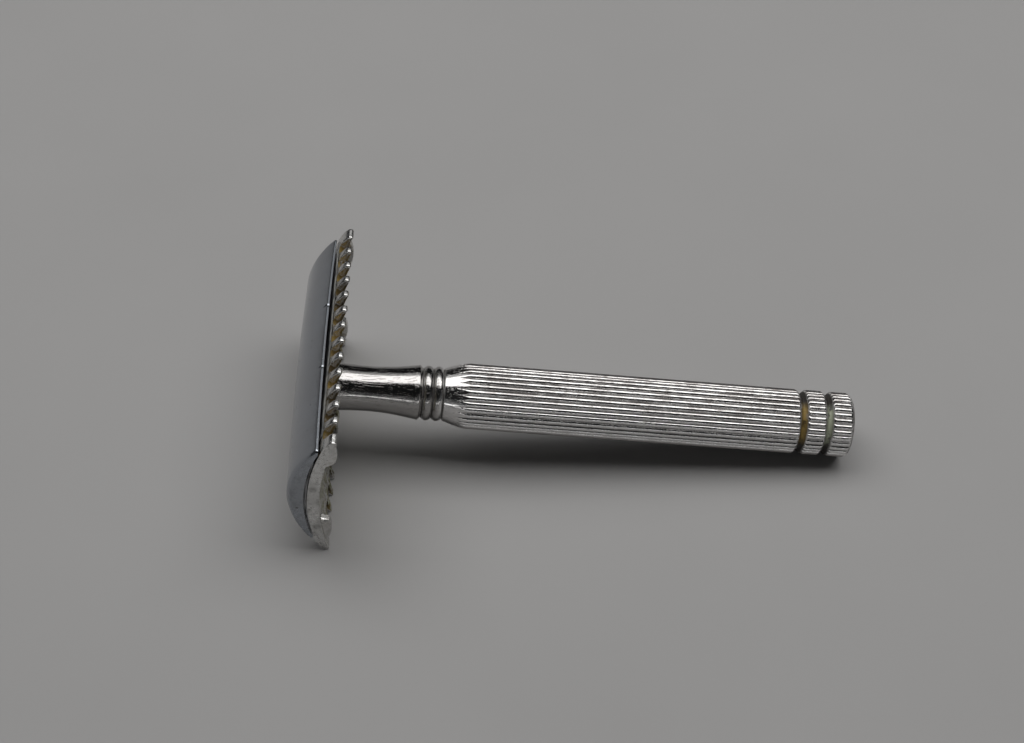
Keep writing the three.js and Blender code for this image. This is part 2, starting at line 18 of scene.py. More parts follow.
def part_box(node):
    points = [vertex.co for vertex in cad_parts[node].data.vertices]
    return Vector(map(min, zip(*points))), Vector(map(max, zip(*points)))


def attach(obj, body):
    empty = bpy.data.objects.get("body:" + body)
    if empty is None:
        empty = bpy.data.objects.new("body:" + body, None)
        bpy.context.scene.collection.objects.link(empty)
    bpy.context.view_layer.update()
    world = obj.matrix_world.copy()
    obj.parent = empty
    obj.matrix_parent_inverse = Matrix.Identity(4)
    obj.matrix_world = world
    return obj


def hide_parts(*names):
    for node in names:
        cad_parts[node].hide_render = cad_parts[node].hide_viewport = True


bl_info = {
    "name": "Open-comb safety razor",
    "version": (1, 0, 0),
    "blender": (4, 5, 0),
    "location": "3D View > Sidebar > Razor",
    "description": "Builds the fine pieces, finishes and stage of a worn safety razor",
    "category": "Add Mesh",
}

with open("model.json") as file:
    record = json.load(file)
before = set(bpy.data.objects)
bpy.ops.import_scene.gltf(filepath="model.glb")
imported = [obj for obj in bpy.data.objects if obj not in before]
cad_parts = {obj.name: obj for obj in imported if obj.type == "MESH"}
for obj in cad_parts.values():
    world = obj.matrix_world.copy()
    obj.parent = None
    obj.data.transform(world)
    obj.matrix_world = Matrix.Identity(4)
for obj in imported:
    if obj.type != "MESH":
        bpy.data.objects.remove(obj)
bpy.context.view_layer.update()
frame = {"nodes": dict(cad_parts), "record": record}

MM = 0.001

# ---- Where the razor lies --------------------------------------------------------------

HINGE = next(j for j in frame["record"]["behaviour"]["joints"] if j["name"] == "handle_unscrew")
SEAT = np.array(HINGE["pos_m"], dtype=float)
DOWN = np.array(HINGE["axis"], dtype=float)            # from the cap to the butt
DOWN /= np.linalg.norm(DOWN)
ACROSS = np.array([-DOWN[2], 0.0, DOWN[0]])
ALONG = np.array([0.0, 1.0, 0.0])
LIE = (0.0, math.atan2(-DOWN[0], -DOWN[2]), 0.0)       # turns standing Z to -DOWN
HEAD_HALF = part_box("comb_guard")[1][1]                 # half the length of the head

# ---- Sizes that don't change, in the standing frame --------------------------------------

COMB_ROOT_INSET = 0.05 * MM      # the teeth start bending down just inside the cap's edge
TIP_LAND = 0.45 * MM             # upright face of a tooth tip
TIP_ROUND = 0.2 * MM
SLOT_ROOT_ROUND = 0.6 * MM
SLOT_LEAN = math.radians(45)
LOBE_WIDTH = 4.8 * MM            # thick lobe under each corner ear
LOBE_INSET = 1.45 * MM
LOBE_END_INSET = 0.7 * MM
LOBE_DROP = 1.2 * MM
LOBE_ROUND = 0.79 * MM
PIN_SPACING = 27.0 * MM
PIN_DIAMETER = 2.6 * MM
STUD_IN_CAP = 1.05 * MM
PIN_IN_CAP = 0.85 * MM
PIN_SLACK = 0.25 * MM            # round a pin, in the guard's and the blade's holes
CAP_STUD_HOLE = 2.465 * MM       # radius of the cap's socket for the stud's head
GUARD_STUD_HOLE = 2.615 * MM     # radius
BLADE_STUD_HOLE = 3.105 * MM     # radius
NECK_SEAT = 4.1 * MM             # radius of the guard's recess for the neck
FIT = 0.05 * MM                  # clearance between pressed or seated pieces
MERGE = 0.002 * MM
CREASE = math.radians(34)        # sharper edges than this aren't smoothed
REEDED_CREASE = math.radians(30)


# ---- Settings ----------------------------------------------------------------------------

def length(name, millimetres, description):
    """A length in the panel."""
    return FloatProperty(name=name, description=description, default=millimetres * MM,
                         min=0.0, unit="LENGTH", precision=5)


def amount(name, default, description):
    """A share from 0 to 1 in the panel."""
    return FloatProperty(name=name, description=description, default=default,
                         min=0.0, max=1.0, subtype="FACTOR")


def colour(name, default, description):
    """A colour in the panel."""
    return FloatVectorProperty(name=name, description=description, default=default,
                               min=0.0, max=1.0, subtype="COLOR")


class RazorHead(bpy.types.PropertyGroup):
    """Sizes of the cap, the blade and the comb guard."""
    cap_half: length("Cap half width", 10.2, "From the centre line to a long edge")
    cap_thickness: length("Cap thickness", 2.5, "On the centre line")
    cap_bow: length("Cap bow", 0.3, "How much higher the cap's middle stands than its ends")
    cap_lip: length("Cap lip", 0.35, "Height of the upright long edge")
    bevel_width: length("Bevel width", 0.78, "Bevel between dome and lip, across the head")
    bevel_rise: length("Bevel rise", 0.62, "The same bevel, along the handle")
    end_bevel_length: length("End bevel length", 0.8, "Rounding of the two arched ends")
    end_bevel_rise: length("End bevel rise", 0.5, "Rounding of the two arched ends, in height")
    corner_radius: length("Corner radius", 0.6, "Corners of the cap, seen from above")
    gap_middle: length("Middle gap", 0.48, "Between guard and cap on the centre line")
    gap_edge: length("Edge gap", 0.36, "Between guard and cap at the long edges")
    guard_thickness: length("Guard thickness", 1.73, "On the centre line")
    guard_top_radius: length("Guard top radius", 33.7, "The arch that the blade bends over")
    guard_under_radius: length("Guard under radius", 40.0, "The arch of the underside")
    comb_reach: length("Comb reach", 2.35, "Tooth tips out past the cap")
    ear_width: length("Ear width", 1.99, "The wider tooth at each corner")
    slot_count: IntProperty(name="Slots", description="Slots on each side", default=13, min=3)
    slot_width: length("Slot width", 1.85, "Between two teeth")
    slot_depth: length("Slot depth", 2.05, "From a tooth tip in to the slot's root")
    tooth_round: length("Tooth rounding", 0.27, "Radius of the teeth's side edges")
    edge_round: length("Edge rounding", 0.09, "Radius of the plates' edges")
    blade_width: length("Blade width", 22.0, "Measured flat")
    blade_length: length("Blade length", 42.0, "End to end")
    blade_thickness: length("Blade thickness", 0.1, "Between the ground edges")
    blade_clearance: length("Blade clearance", 0.12, "Above the guard")


class RazorHandle(bpy.types.PropertyGroup):
    """Sizes of the handle, the stud and its thread."""
    handle_length: length("Handle length", 80.55, "Neck end to butt")
    neck_end: length("Neck end radius", 3.8, "Where the neck bears on the guard")
    neck_waist: length("Waist radius", 3.45, "The narrowest of the neck")
    waist_place: length("Waist place", 6.2, "Below the seat")
    lip_radius: length("Lip radius", 4.2, "Lip and beads")
    lip_place: length("Lip place", 13.6, "Below the seat")
    bead_rise: length("Bead height", 0.45, "Above the grooves beside it")
    bead_pitch: length("Bead pitch", 1.58, "Along the handle")
    shoulder_length: length("Shoulder length", 3.4, "From the beads to the grip")
    grip_radius: length("Grip radius", 5.03, "Over the ribs")
    rib_count: IntProperty(name="Ribs", description="Round the grip", default=32, min=8)
    flute_depth: length("Reed height", 0.45, "Of a rib's full round, cut off at three quarters")
    vee_width: length("Vee groove width", 1.5, "The two grooves near the butt")
    vee_depth: length("Vee groove depth", 0.73, "Below the ribs")
    bore: length("Bore radius", 3.6, "Inside the grip")
    thread_pitch: length("Thread pitch", 0.79375, "32 threads to the inch")
    thread_major: length("Thread diameter", 4.83, "Over the crests")


class RazorFinish(bpy.types.PropertyGroup):
    """Colours of the metals and the deposits, and how worn they are."""
    # The cap's plating is painted darker than the guard's and the handle's: painted shade for the
    # shadow and dark surroundings that its dome reflects.
    cap_plating: colour("Cap plating", (0.33, 0.35, 0.38), "Polished plating on the cap")
    guard_plating: colour("Guard plating", (0.68, 0.675, 0.66), "Duller plating on the guard")
    handle_plating: colour("Handle plating", (0.68, 0.67, 0.66), "Plating on the handle")
    brass: colour("Brass", (0.58, 0.40, 0.17), "Bare brass")
    steel: colour("Blade steel", (0.42, 0.43, 0.44), "Blade steel")
    brown: colour("Brown deposit", (0.065, 0.043, 0.015), "Old soap and tarnish")
    gold: colour("Gold tarnish", (0.31, 0.215, 0.062), "Brass showing through")
    olive: colour("Olive deposit", (0.12, 0.105, 0.045), "In the hollow of the guard")
    pale: colour("Pale residue", (0.42, 0.45, 0.34), "Dried soap in the grooves")
    soap: colour("Soap film", (0.60, 0.585, 0.53), "Dried soap along the blade's edges")
    wear: amount("Wear", 0.6, "How scuffed and pitted the plating is")


class RazorStage(bpy.types.PropertyGroup):
    """Camera, lights and floor."""
    camera_place: FloatVectorProperty(
        name="Camera place", description="Where the camera stands", unit="LENGTH",
        default=(-0.01513, -0.17961, 0.21887), precision=5)
    camera_turn: FloatProperty(
        name="Camera turn", description="About the vertical, from looking along +Y",
        default=math.radians(-1.625), subtype="ANGLE")
    camera_dip: FloatProperty(
        name="Camera dip", description="Down from level", default=math.radians(48.403),
        subtype="ANGLE")
    camera_roll: FloatProperty(
        name="Camera roll", description="About the line of sight",
        default=math.radians(2.047), subtype="ANGLE")
    lens: FloatProperty(name="Lens", description="Focal length in millimetres", default=63.14)
    floor: colour("Floor", (0.392, 0.388, 0.385), "Plain pale floor")
    softbox: FloatProperty(name="Softbox", description="Power of the overhead softbox in watts",
                           default=4.6, min=0.0)


# ---- Nodes -------------------------------------------------------------------------------

class Nodes:
    """A node tree in the making. One method adds every node."""

    def __init__(self, tree):
        self.tree = tree

    def feed(self, socket, value):
        """Links or sets a socket."""
        source = getattr(value, "socket", value)
        if isinstance(source, bpy.types.NodeSocket):
            self.tree.links.new(source, socket)
        else:
            socket.default_value = value

    def node(self, kind, settings=None, inputs=None):
        """Adds a node, sets it, and then links or sets its sockets by name or number."""
        made = self.tree.nodes.new(kind)
        for name, value in (settings or {}).items():
            setattr(made, name, value)
        for key, value in (inputs or {}).items():
            self.feed(made.inputs[key], value)
        return made


class Field:
    """A number that varies over a surface. Sums on it add Math nodes."""

    def __init__(self, nodes, socket):
        self.nodes = nodes
        self.socket = socket

    def maths(self, operation, *others):
        """This field and others through one Math node."""
        inputs = dict(enumerate((self, *others)))
        made = self.nodes.node("ShaderNodeMath", {"operation": operation}, inputs)
        return Field(self.nodes, made.outputs[0])

    def swapped(self, operation, other):
        """A Math node with the plain number first."""
        made = self.nodes.node("ShaderNodeMath", {"operation": operation}, {0: other, 1: self})
        return Field(self.nodes, made.outputs[0])

    def __add__(self, other):
        return self.maths("ADD", other)

    def __radd__(self, other):
        return self.swapped("ADD", other)

    def __sub__(self, other):
        return self.maths("SUBTRACT", other)

    def __rsub__(self, other):
        return self.swapped("SUBTRACT", other)

    def __mul__(self, other):
        return self.maths("MULTIPLY", other)

    def __rmul__(self, other):
        return self.swapped("MULTIPLY", other)

    def __truediv__(self, other):
        return self.maths("DIVIDE", other)

    def __pow__(self, other):
        return self.maths("POWER", other)

    def __abs__(self):
        return self.maths("ABSOLUTE")

    def clamped(self):
        """Kept from 0 to 1."""
        made = self.nodes.node("ShaderNodeClamp", None, {"Value": self})
        return Field(self.nodes, made.outputs[0])

    def over(self, low, high):
        """0 below low, 1 above high, and a smooth step between. Low may be the larger."""
        made = self.nodes.node("ShaderNodeMapRange", {"interpolation_type": "SMOOTHSTEP"},
                               {"Value": self, "From Min": low, "From Max": high})
        return Field(self.nodes, made.outputs[0])

    def near(self, centre, reach):
        """1 at centre, falling to 0 at reach from it."""
        return abs(self - centre).over(reach, 0.0)


class Finish(Nodes):
    """A metal finish, with fields in the standing frame in millimetres."""

    def __init__(self, name):
        self.material = bpy.data.materials.new(name)
        self.material.use_nodes = True
        super().__init__(self.material.node_tree)
        self.metal = self.tree.nodes["Principled BSDF"]
        coordinates = self.node("ShaderNodeTexCoord")
        from_seat = self.node("ShaderNodeVectorMath", {"operation": "SUBTRACT"},
                              {0: coordinates.outputs["Object"], 1: tuple(SEAT)})
        self.x = self.dot(from_seat.outputs[0], ACROSS / MM)
        self.y = self.dot(from_seat.outputs[0], ALONG / MM)
        self.z = self.dot(from_seat.outputs[0], -DOWN / MM)
        self.facing_x = self.dot(coordinates.outputs["Normal"], ACROSS)
        self.facing_y = self.dot(coordinates.outputs["Normal"], ALONG)
        self.facing_z = self.dot(coordinates.outputs["Normal"], -DOWN)
        self.place = self.node("ShaderNodeCombineXYZ", None,
                               {0: self.x, 1: self.y, 2: self.z}).outputs[0]
        self.from_axis = (self.x * self.x + self.y * self.y) ** 0.5

    def dot(self, vector, direction):
        """How far a vector reaches along a direction."""
        made = self.node("ShaderNodeVectorMath", {"operation": "DOT_PRODUCT"},
                         {0: vector, 1: tuple(direction)})
        return Field(self, made.outputs["Value"])

    def noise(self, scale, detail=4.0, roughness=0.55, stretch=(1, 1, 1), shift=(0, 0, 0)):
        """Cloudy noise, from about 0.3 to 0.7, at scale per millimetre."""
        place = self.node("ShaderNodeMapping", None,
                          {"Vector": self.place, "Location": shift, "Scale": stretch})
        made = self.node("ShaderNodeTexNoise", None,
                         {"Vector": place.outputs[0], "Scale": scale, "Detail": detail,
                          "Roughness": roughness})
        return Field(self, made.outputs[0])

    def spots(self, scale, size, shift=(0, 0, 0)):
        """Scattered round spots, 1 in their middles, at scale per millimetre."""
        place = self.node("ShaderNodeMapping", None, {"Vector": self.place, "Location": shift})
        made = self.node("ShaderNodeTexVoronoi", None,
                         {"Vector": place.outputs[0], "Scale": scale})
        return Field(self, made.outputs["Distance"]).over(size, 0.4 * size)

    def mix(self, factor, first, second):
        """One colour turning to another."""
        made = self.node("ShaderNodeMix", {"data_type": "RGBA"},
                         {0: factor, 6: opaque(first), 7: opaque(second)})
        return made.outputs[2]

    def wear(self, height, metres):
        """Bumps from a field, at the height that a value of 1 stands."""
        made = self.node("ShaderNodeBump", None,
                         {"Height": height, "Distance": metres, "Strength": 1.0})
        self.feed(self.metal.inputs["Normal"], made.outputs[0])

    def set(self, **values):
        """Links or sets the shader's sockets, with _ for a space in a name."""
        for name, value in values.items():
            self.feed(self.metal.inputs[name.replace("_", " ")], value)


def opaque(shade):
    """A colour as a socket takes it, or a link as it is."""
    return shade if isinstance(shade, bpy.types.NodeSocket) else (*shade[:3], 1.0)


# ---- Finishes ----------------------------------------------------------------------------

def scuffs(finish, wear):
    """Fine scratches and smudges that any plated piece has: a roughness, a height and
    where the smudges are."""
    smudge = finish.noise(0.16, 3.0, 0.6).over(0.42, 0.68)
    haze = finish.noise(1.4, 5.0, 0.7, shift=(3, 9, 1)).over(0.45, 0.75)
    hairs = finish.noise(3.0, 2.0, 0.5, stretch=(6.0, 0.5, 6.0)).over(0.55, 0.72)
    rough = 0.08 + wear * (0.10 * smudge + 0.12 * haze + 0.08 * hairs)
    height = 0.5 * haze + 0.5 * hairs
    return rough, height, smudge


def cap_finish(colours):
    """Polished plating, lightly pitted and smudged, darker towards its edges."""
    finish = Finish("cap_plating")
    rough, height, smudge = scuffs(finish, colours.wear)
    pits = finish.spots(0.55, 0.16) * finish.noise(0.4, 1.0, shift=(5, 5, 5)).over(0.48, 0.56)
    pin_pricks = finish.spots(2.3, 0.13, shift=(2, 7, 4))
    end = abs(finish.facing_y).over(0.55, 0.9)
    mottle = finish.noise(1.1, 6.0, 0.7, shift=(8, 2, 6)).over(0.46, 0.62) * end
    marks = (pits + 0.5 * pin_pricks + 0.28 * mottle).clamped()
    # The cap_plating colour carries painted shade for what the dome reflects.
    shade = finish.mix(0.35 * smudge, colours.cap_plating, (0.30, 0.31, 0.325))
    shade = finish.mix(0.75 * marks, shade, (0.10, 0.095, 0.085))
    finish.set(Base_Color=shade, Metallic=1.0 - 0.35 * marks,
               Roughness=(rough + 0.25 * marks + 0.16 * end).clamped())
    finish.wear(height - 1.5 * marks, 0.004 * MM)
    return finish.material


def guard_finish(colours, head):
    """Duller plating with brown and gold deposits in the slots and the hollow."""
    finish = Finish("guard_plating")
    rough, height, smudge = scuffs(finish, colours.wear)
    tip = (head.cap_half + head.comb_reach) / MM
    root = tip - head.slot_depth / MM
    end_face = HEAD_HALF / MM
    ear_wall = end_face - head.ear_width / MM
    out = abs(finish.x)
    ear = abs(finish.y).over(ear_wall - 0.16, ear_wall + 0.14)
    below = 0.0 - finish.z - out * out / (2 * head.guard_under_radius / MM)
    hollow = below.over(-0.25, 0.02) * finish.facing_z.over(0.1, -0.35) * (1.0 - 0.8 * ear)
    depth = head.guard_thickness / MM - finish.z - out * out / (2 * head.guard_top_radius / MM)
    side = abs(finish.facing_y).over(0.4, 0.8)
    side = side * abs(finish.y).over(end_face - 0.15, end_face - 0.45)
    side = side * depth.over(0.6, 1.2) * out.over(tip - 0.3, tip - 0.9)
    inward = (0.0 - finish.facing_z).over(0.0, 0.4) * out.over(tip - 0.5, tip - 1.2)
    walls = (side + inward) * out.over(root - 1.6, root - 0.6) * (1.0 - ear)
    crease = out.near(root - 0.1, 1.1) * finish.facing_z.over(0.3, 0.7)
    clouds = finish.noise(0.9, 5.0, 0.65, shift=(1, 4, 2))
    drift = finish.noise(0.12, 2.0, 0.5, shift=(7, 3, 9)).over(0.4, 0.62)
    fill_amount = (walls * clouds.over(0.28, 0.5) + 0.9 * hollow * clouds.over(0.42, 0.56)
             + 0.7 * crease * clouds.over(0.38, 0.55)).clamped()
    end = abs(finish.y).over(end_face - 0.25, end_face - 0.05)
    mottle = finish.noise(1.6, 6.0, 0.72, shift=(4, 4, 8)).over(0.47, 0.62) * end
    stain = finish.spots(0.35, 0.34, shift=(1.2, 3, 0)) * end
    speck = finish.spots(2.6, 0.12, shift=(6, 1, 3))
    fill = finish.mix(drift, colours.brown, colours.gold)
    fill = finish.mix(hollow * clouds.over(0.42, 0.6), fill, colours.olive)
    residue = hollow * finish.noise(2.2, 4.0, 0.6, shift=(3, 3, 3)).over(0.5, 0.62)
    fill = finish.mix(residue, fill, colours.pale)
    fill = finish.mix(crease.clamped(), fill, colours.soap)
    shade = finish.mix((0.3 * mottle + 0.35 * stain + 0.4 * speck * (1.0 - end)
                        + 0.25 * smudge).clamped(),
                       colours.guard_plating, (0.17, 0.165, 0.155))
    shade = finish.mix(fill_amount, shade, fill)
    finish.set(Base_Color=shade, Metallic=(1.0 - 0.75 * fill_amount - 0.3 * mottle).clamped(),
               Roughness=(rough + 0.05 + 0.4 * fill_amount + 0.12 * end).clamped())
    finish.wear(height + 2.2 * fill_amount * clouds - speck, 0.012 * MM)
    return finish.material


def handle_finish(colours, handle):
    """Bright plating, worn through in specks on the ribs, with deposits and painted shade in the
    grooves, and painted shade under, behind and along the top of the grip.
    """
    finish = Finish("handle_plating")
    rough, height, _ = scuffs(finish, colours.wear)
    ribs = handle.grip_radius / MM
    butt = -(handle.handle_length + FIT) / MM
    first, second = butt + VEE_PLACES[1] / MM, butt + VEE_PLACES[0] / MM
    pitch = handle.bead_pitch / MM
    beads_foot = -(handle.lip_place + LIP_GROOVE) / MM - BEADS * pitch
    grip_top = beads_foot - handle.shoulder_length / MM
    # Painted shade: the flutes between the grip's ribs get a near-black fill in cloudy patches.
    low = finish.from_axis.over(ribs - 0.16, ribs - 0.42)
    low = low * finish.z.over(grip_top + 1.16, grip_top + 0.16)
    clouds = finish.noise(0.8, 5.0, 0.65, shift=(2, 5, 1))
    flutes = low * clouds.over(0.34, 0.5)
    vee_one = finish.z.near(first, 0.95) * finish.from_axis.over(ribs - 0.1, ribs - 0.4)
    vee_two = finish.z.near(second, 0.85) * finish.from_axis.over(ribs - 0.1, ribs - 0.4)
    side_up = finish.x.over(-0.5, 1.5) * finish.y.over(0.5, -1.5)
    # Painted shade: the grooves beside the beads get the same near-black fill in cloudy patches.
    creases = (finish.z.near(beads_foot, 0.22) + finish.z.near(beads_foot + pitch, 0.2)
               + finish.z.near(beads_foot + 2 * pitch, 0.2)) * clouds.over(0.3, 0.55)
    grip = finish.z.over(grip_top + 1.76, grip_top - 0.24)
    blotch = finish.noise(0.55, 6.0, 0.75, stretch=(1.0, 1.0, 0.5), shift=(9, 1, 5))
    # Painted shade on the grip: darker on its underside and its back, and in blotches along its
    # top.
    grip_shade = 0.7 * grip * finish.x.over(2.2, 4.4) * blotch.over(0.44, 0.58)
    grip_shade = grip_shade + 0.3 * grip * finish.y.over(1.0, 2.8) * finish.x.over(0.5, 2.5)
    grip_shade = grip_shade + 0.9 * grip * finish.x.over(-1.6, -3.0)
    # The neck and the beads are painted darker than the grip.
    darker_neck = 0.6 * finish.z.over(beads_foot + 0.16, beads_foot + 0.96)
    speck = finish.spots(3.1, 0.14, shift=(5, 2, 8))
    scratch = finish.noise(1.2, 3.0, 0.5, stretch=(5.0, 5.0, 0.35), shift=(1, 1, 1))
    scratch = scratch.over(0.57, 0.66)
    fill_amount = (0.75 * flutes + vee_one + vee_two + creases).clamped()
    # The fill is near black, which is painted shade, except on the vees' upper front side, where it
    # is real gold, brown and pale deposit.
    fill = finish.mix(vee_one * side_up, (0.03, 0.026, 0.022), colours.gold)
    fill = finish.mix(vee_one * side_up * clouds.over(0.5, 0.58), fill, colours.brown)
    fill = finish.mix(vee_two * side_up * clouds.over(0.36, 0.5), fill, colours.pale)
    shade = finish.mix(darker_neck, colours.handle_plating, (0.20, 0.19, 0.18))
    # Wear specks and scratches, and the painted shade on the grip, darken the plating.
    shade = finish.mix((0.55 * speck + 0.3 * scratch + 0.62 * grip_shade).clamped(), shade,
                       (0.13, 0.105, 0.095))
    shade = finish.mix(fill_amount, shade, fill)
    finish.set(Base_Color=shade, Metallic=(1.0 - 0.8 * fill_amount).clamped(),
               Roughness=(rough + 0.4 * fill_amount + 0.12 * grip_shade + 0.1 * scratch).clamped())
    ripple = finish.noise(1.9, 3.0, 0.6, stretch=(1.0, 1.0, 0.6), shift=(4, 8, 2))
    finish.wear(height + (0.3 + 2.0 * grip) * ripple - speck - scratch + fill_amount * clouds, 0.007 * MM)
    return finish.material


def brass_finish(colours):
    """Bare brass, dulled in patches."""
    finish = Finish("bare_brass")
    rough, height, _ = scuffs(finish, colours.wear)
    tarnish = finish.noise(0.9, 5.0, 0.65, shift=(6, 6, 2)).over(0.44, 0.62)
    finish.set(Base_Color=finish.mix(0.7 * tarnish, colours.brass, (0.20, 0.115, 0.045)),
               Metallic=1.0, Roughness=(rough + 0.12 + 0.2 * tarnish).clamped())
    finish.wear(height + tarnish, 0.004 * MM)
    return finish.material


def blade_finish(colours):
    """Dark strip steel with a lapped grain along the blade and brighter ground edges."""
    finish = Finish("blade_steel")
    grain = finish.noise(2.0, 3.0, 0.6, stretch=(9.0, 0.3, 9.0))
    stain = finish.noise(0.25, 5.0, 0.7, shift=(2, 2, 7)).over(0.5, 0.66)
    ground = abs(finish.x).over(10.1, 10.35)
    film = ground * finish.noise(0.7, 5.0, 0.6, shift=(5, 3, 1)).over(0.36, 0.56)
    shade = finish.mix(ground, colours.steel, (0.66, 0.665, 0.67))
    shade = finish.mix(0.6 * stain * (1.0 - ground), shade, (0.13, 0.09, 0.06))
    shade = finish.mix(0.8 * film, shade, colours.soap)
    finish.set(Base_Color=shade, Metallic=1.0 - 0.75 * film,
               Roughness=(0.22 + 0.18 * grain + 0.2 * stain).clamped())
    finish.wear(grain, 0.002 * MM)
    return finish.material


# ---- Meshes ------------------------------------------------------------------------------

def laid(points):
    """Points from the standing frame to where the razor lies."""
    points = np.asarray(points, dtype=float)
    return SEAT + points[:, :1] * ACROSS + points[:, 1:2] * ALONG - points[:, 2:] * DOWN


def piece_of(name, points, faces, material, lie=True):
    """A finished mesh object with its doubles merged, smooth but for its creases."""
    mesh = bpy.data.meshes.new(name)
    mesh.from_pydata((laid(points) if lie else np.asarray(points)).tolist(), [], faces)
    tidy(mesh)
    piece = bpy.data.objects.new(name, mesh)
    bpy.context.scene.collection.objects.link(piece)
    if material:
        mesh.materials.append(material)
    smooth(mesh)
    return piece


def tidy(mesh):
    """Merges doubles, drops faces without area and turns the faces outwards."""
    work = bmesh.new()
    work.from_mesh(mesh)
    bmesh.ops.remove_doubles(work, verts=work.verts, dist=MERGE)
    bmesh.ops.dissolve_degenerate(work, dist=MERGE / 4, edges=work.edges)
    if all(edge.is_manifold for edge in work.edges):
        bmesh.ops.recalc_face_normals(work, faces=work.faces)
    work.to_mesh(mesh)
    work.free()


def smooth(mesh, crease=CREASE):
    """Smooth shading, with edges sharper than crease kept sharp."""
    mesh.polygons.foreach_set("use_smooth", [True] * len(mesh.polygons))
    mesh.set_sharp_from_angle(angle=crease)


def baked(piece):
    """The piece as its modifiers leave it, with none left on it."""
    graph = bpy.context.evaluated_depsgraph_get()
    mesh = bpy.data.meshes.new_from_object(piece.evaluated_get(graph))
    piece.modifiers.clear()
    old = piece.data
    piece.data = mesh
    mesh.name = old.name
    bpy.data.meshes.remove(old)
    return piece


def lofted(rings, closed=True, capped=True):
    """Points and faces of a skin through rings of points, each a closed or open outline."""
    count = len(rings[0])
    points = np.concatenate(rings)
    faces = []
    for ring in range(len(rings) - 1):
        for step in range(count if closed else count - 1):
            here = ring * count + step
            beside = ring * count + (step + 1) % count
            faces.append((here, beside, beside + count, here + count))
    if capped:
        last = (len(rings) - 1) * count
        faces.append(tuple(range(count))[::-1])
        faces.append(tuple(range(last, last + count)))
    return points, faces


def circle(radius, angles, height):
    """Points round the axis at a height, with one radius or one for each angle."""
    return np.stack([radius * np.cos(angles), radius * np.sin(angles),
                     np.full(len(angles), height)], 1)


def upright(outline, y):
    """An outline of (across, up) as points at y along the head."""
    return np.stack([outline[:, 0], np.full(len(outline), y), outline[:, 1]], 1)


def turned(profile, segments=48):
    """A profile of [radius, height] that starts and ends on the axis, turned about it."""
    angles = np.linspace(0, 2 * math.pi, segments, endpoint=False)
    return lofted([circle(radius, angles, height) for radius, height in profile])


def carved(piece, cutters):
    """The piece with each cutter taken out of it."""
    for cutter in cutters:
        cut = piece.modifiers.new("cut", "BOOLEAN")
        cut.object = cutter
        cut.operation = "DIFFERENCE"
        cut.solver = "EXACT"
    bpy.context.view_layer.update()
    baked(piece)
    for cutter in cutters:
        bpy.data.objects.remove(cutter)
    return piece


def rounded(points, corners, reach, steps=4):
    """The outline with the named corners cut back by reach and rounded."""
    points = np.asarray(points, dtype=float)
    made = []
    for index, point in enumerate(points):
        if index not in corners:
            made.append(point)
            continue
        before = points[index - 1] - point
        after = points[(index + 1) % len(points)] - point
        start = point + before * min(reach / np.linalg.norm(before), 0.45)
        end = point + after * min(reach / np.linalg.norm(after), 0.45)
        for t in np.linspace(0, 1, steps + 1):
            made.append((1 - t) ** 2 * start + 2 * t * (1 - t) * point + t ** 2 * end)
    return np.array(made)


def inset(outline, distance):
    """A closed outline that runs clockwise, moved inwards."""
    ahead = np.roll(outline, -1, 0) - np.roll(outline, 1, 0)
    normal = np.stack([-ahead[:, 1], ahead[:, 0]], 1)
    normal /= np.linalg.norm(normal, axis=1)[:, None]
    return outline - normal * np.reshape(distance, (-1, 1))


def sag(radius, x):
    """How far an arc has dropped below its crown at x."""
    return radius - np.sqrt(radius ** 2 - np.square(x))


def arc_radius(half, drop):
    """The radius of the arc that drops by drop at half."""
    return (half ** 2 + drop ** 2) / (2 * drop)


def geometry_tree(name, sockets):
    """A Geometry Nodes tree with its named inputs, and its builder, input and output."""
    tree = bpy.data.node_groups.new(name, "GeometryNodeTree")
    tree.interface.new_socket("Geometry", in_out="INPUT", socket_type="NodeSocketGeometry")
    for label, kind in sockets.items():
        tree.interface.new_socket(label, in_out="INPUT", socket_type=f"NodeSocket{kind}")
    tree.interface.new_socket("Geometry", in_out="OUTPUT", socket_type="NodeSocketGeometry")
    build = Nodes(tree)
    return build, build.node("NodeGroupInput").outputs, build.node("NodeGroupOutput").inputs


def lay_and_paint(build, given, result, geometry):
    """Ends a tree: lays its geometry down with the razor and gives it its finish."""
    down = build.node("GeometryNodeTransform", None,
                      {"Geometry": geometry, "Translation": given["Seat"],
                       "Rotation": given["Lie"]})
    real = build.node("GeometryNodeRealizeInstances", None, {0: down.outputs[0]})
    painted = build.node("GeometryNodeSetMaterial", None,
                         {"Geometry": real.outputs[0], "Material": given["Finish"]})
    build.feed(result[0], painted.outputs[0])
    return build


def run_tree(piece, build, values):
    """Runs a tree on a piece with its inputs set by identifier, and bakes the result."""
    modifier = piece.modifiers.new(build.tree.name, "NODES")
    modifier.node_group = build.tree
    for item in build.tree.interface.items_tree:
        if item.item_type == "SOCKET" and item.in_out == "INPUT" and item.name in values:
            modifier[item.identifier] = values[item.name]
    bpy.context.view_layer.update()
    return baked(piece)


# ---- Cap ---------------------------------------------------------------------------------

NICKS = ((7.1 * MM, 0.09 * MM), (-5.3 * MM, 0.06 * MM))   # along the lip, and how deep
NICK_REACH = 0.16 * MM
PIN_PLACES = (-PIN_SPACING / 2, PIN_SPACING / 2)


def guard_top(head, x):
    """Height of the guard's upper face."""
    return head.guard_thickness - sag(head.guard_top_radius, x)


def cap_crown(head):
    """Height of the cap's underside on the centre line, at its ends."""
    return head.guard_thickness + head.gap_middle


def cap_rise(head, y):
    """How much the bow lifts the cap at y."""
    return head.cap_bow * (1 - (y / HEAD_HALF) ** 2)


def stud_top(head):
    """Height of the stud's end inside the cap."""
    return cap_crown(head) + head.cap_bow + STUD_IN_CAP


def pin_top(head, y):
    """Height of a pin's end inside the cap."""
    return cap_crown(head) + cap_rise(head, y) + PIN_IN_CAP


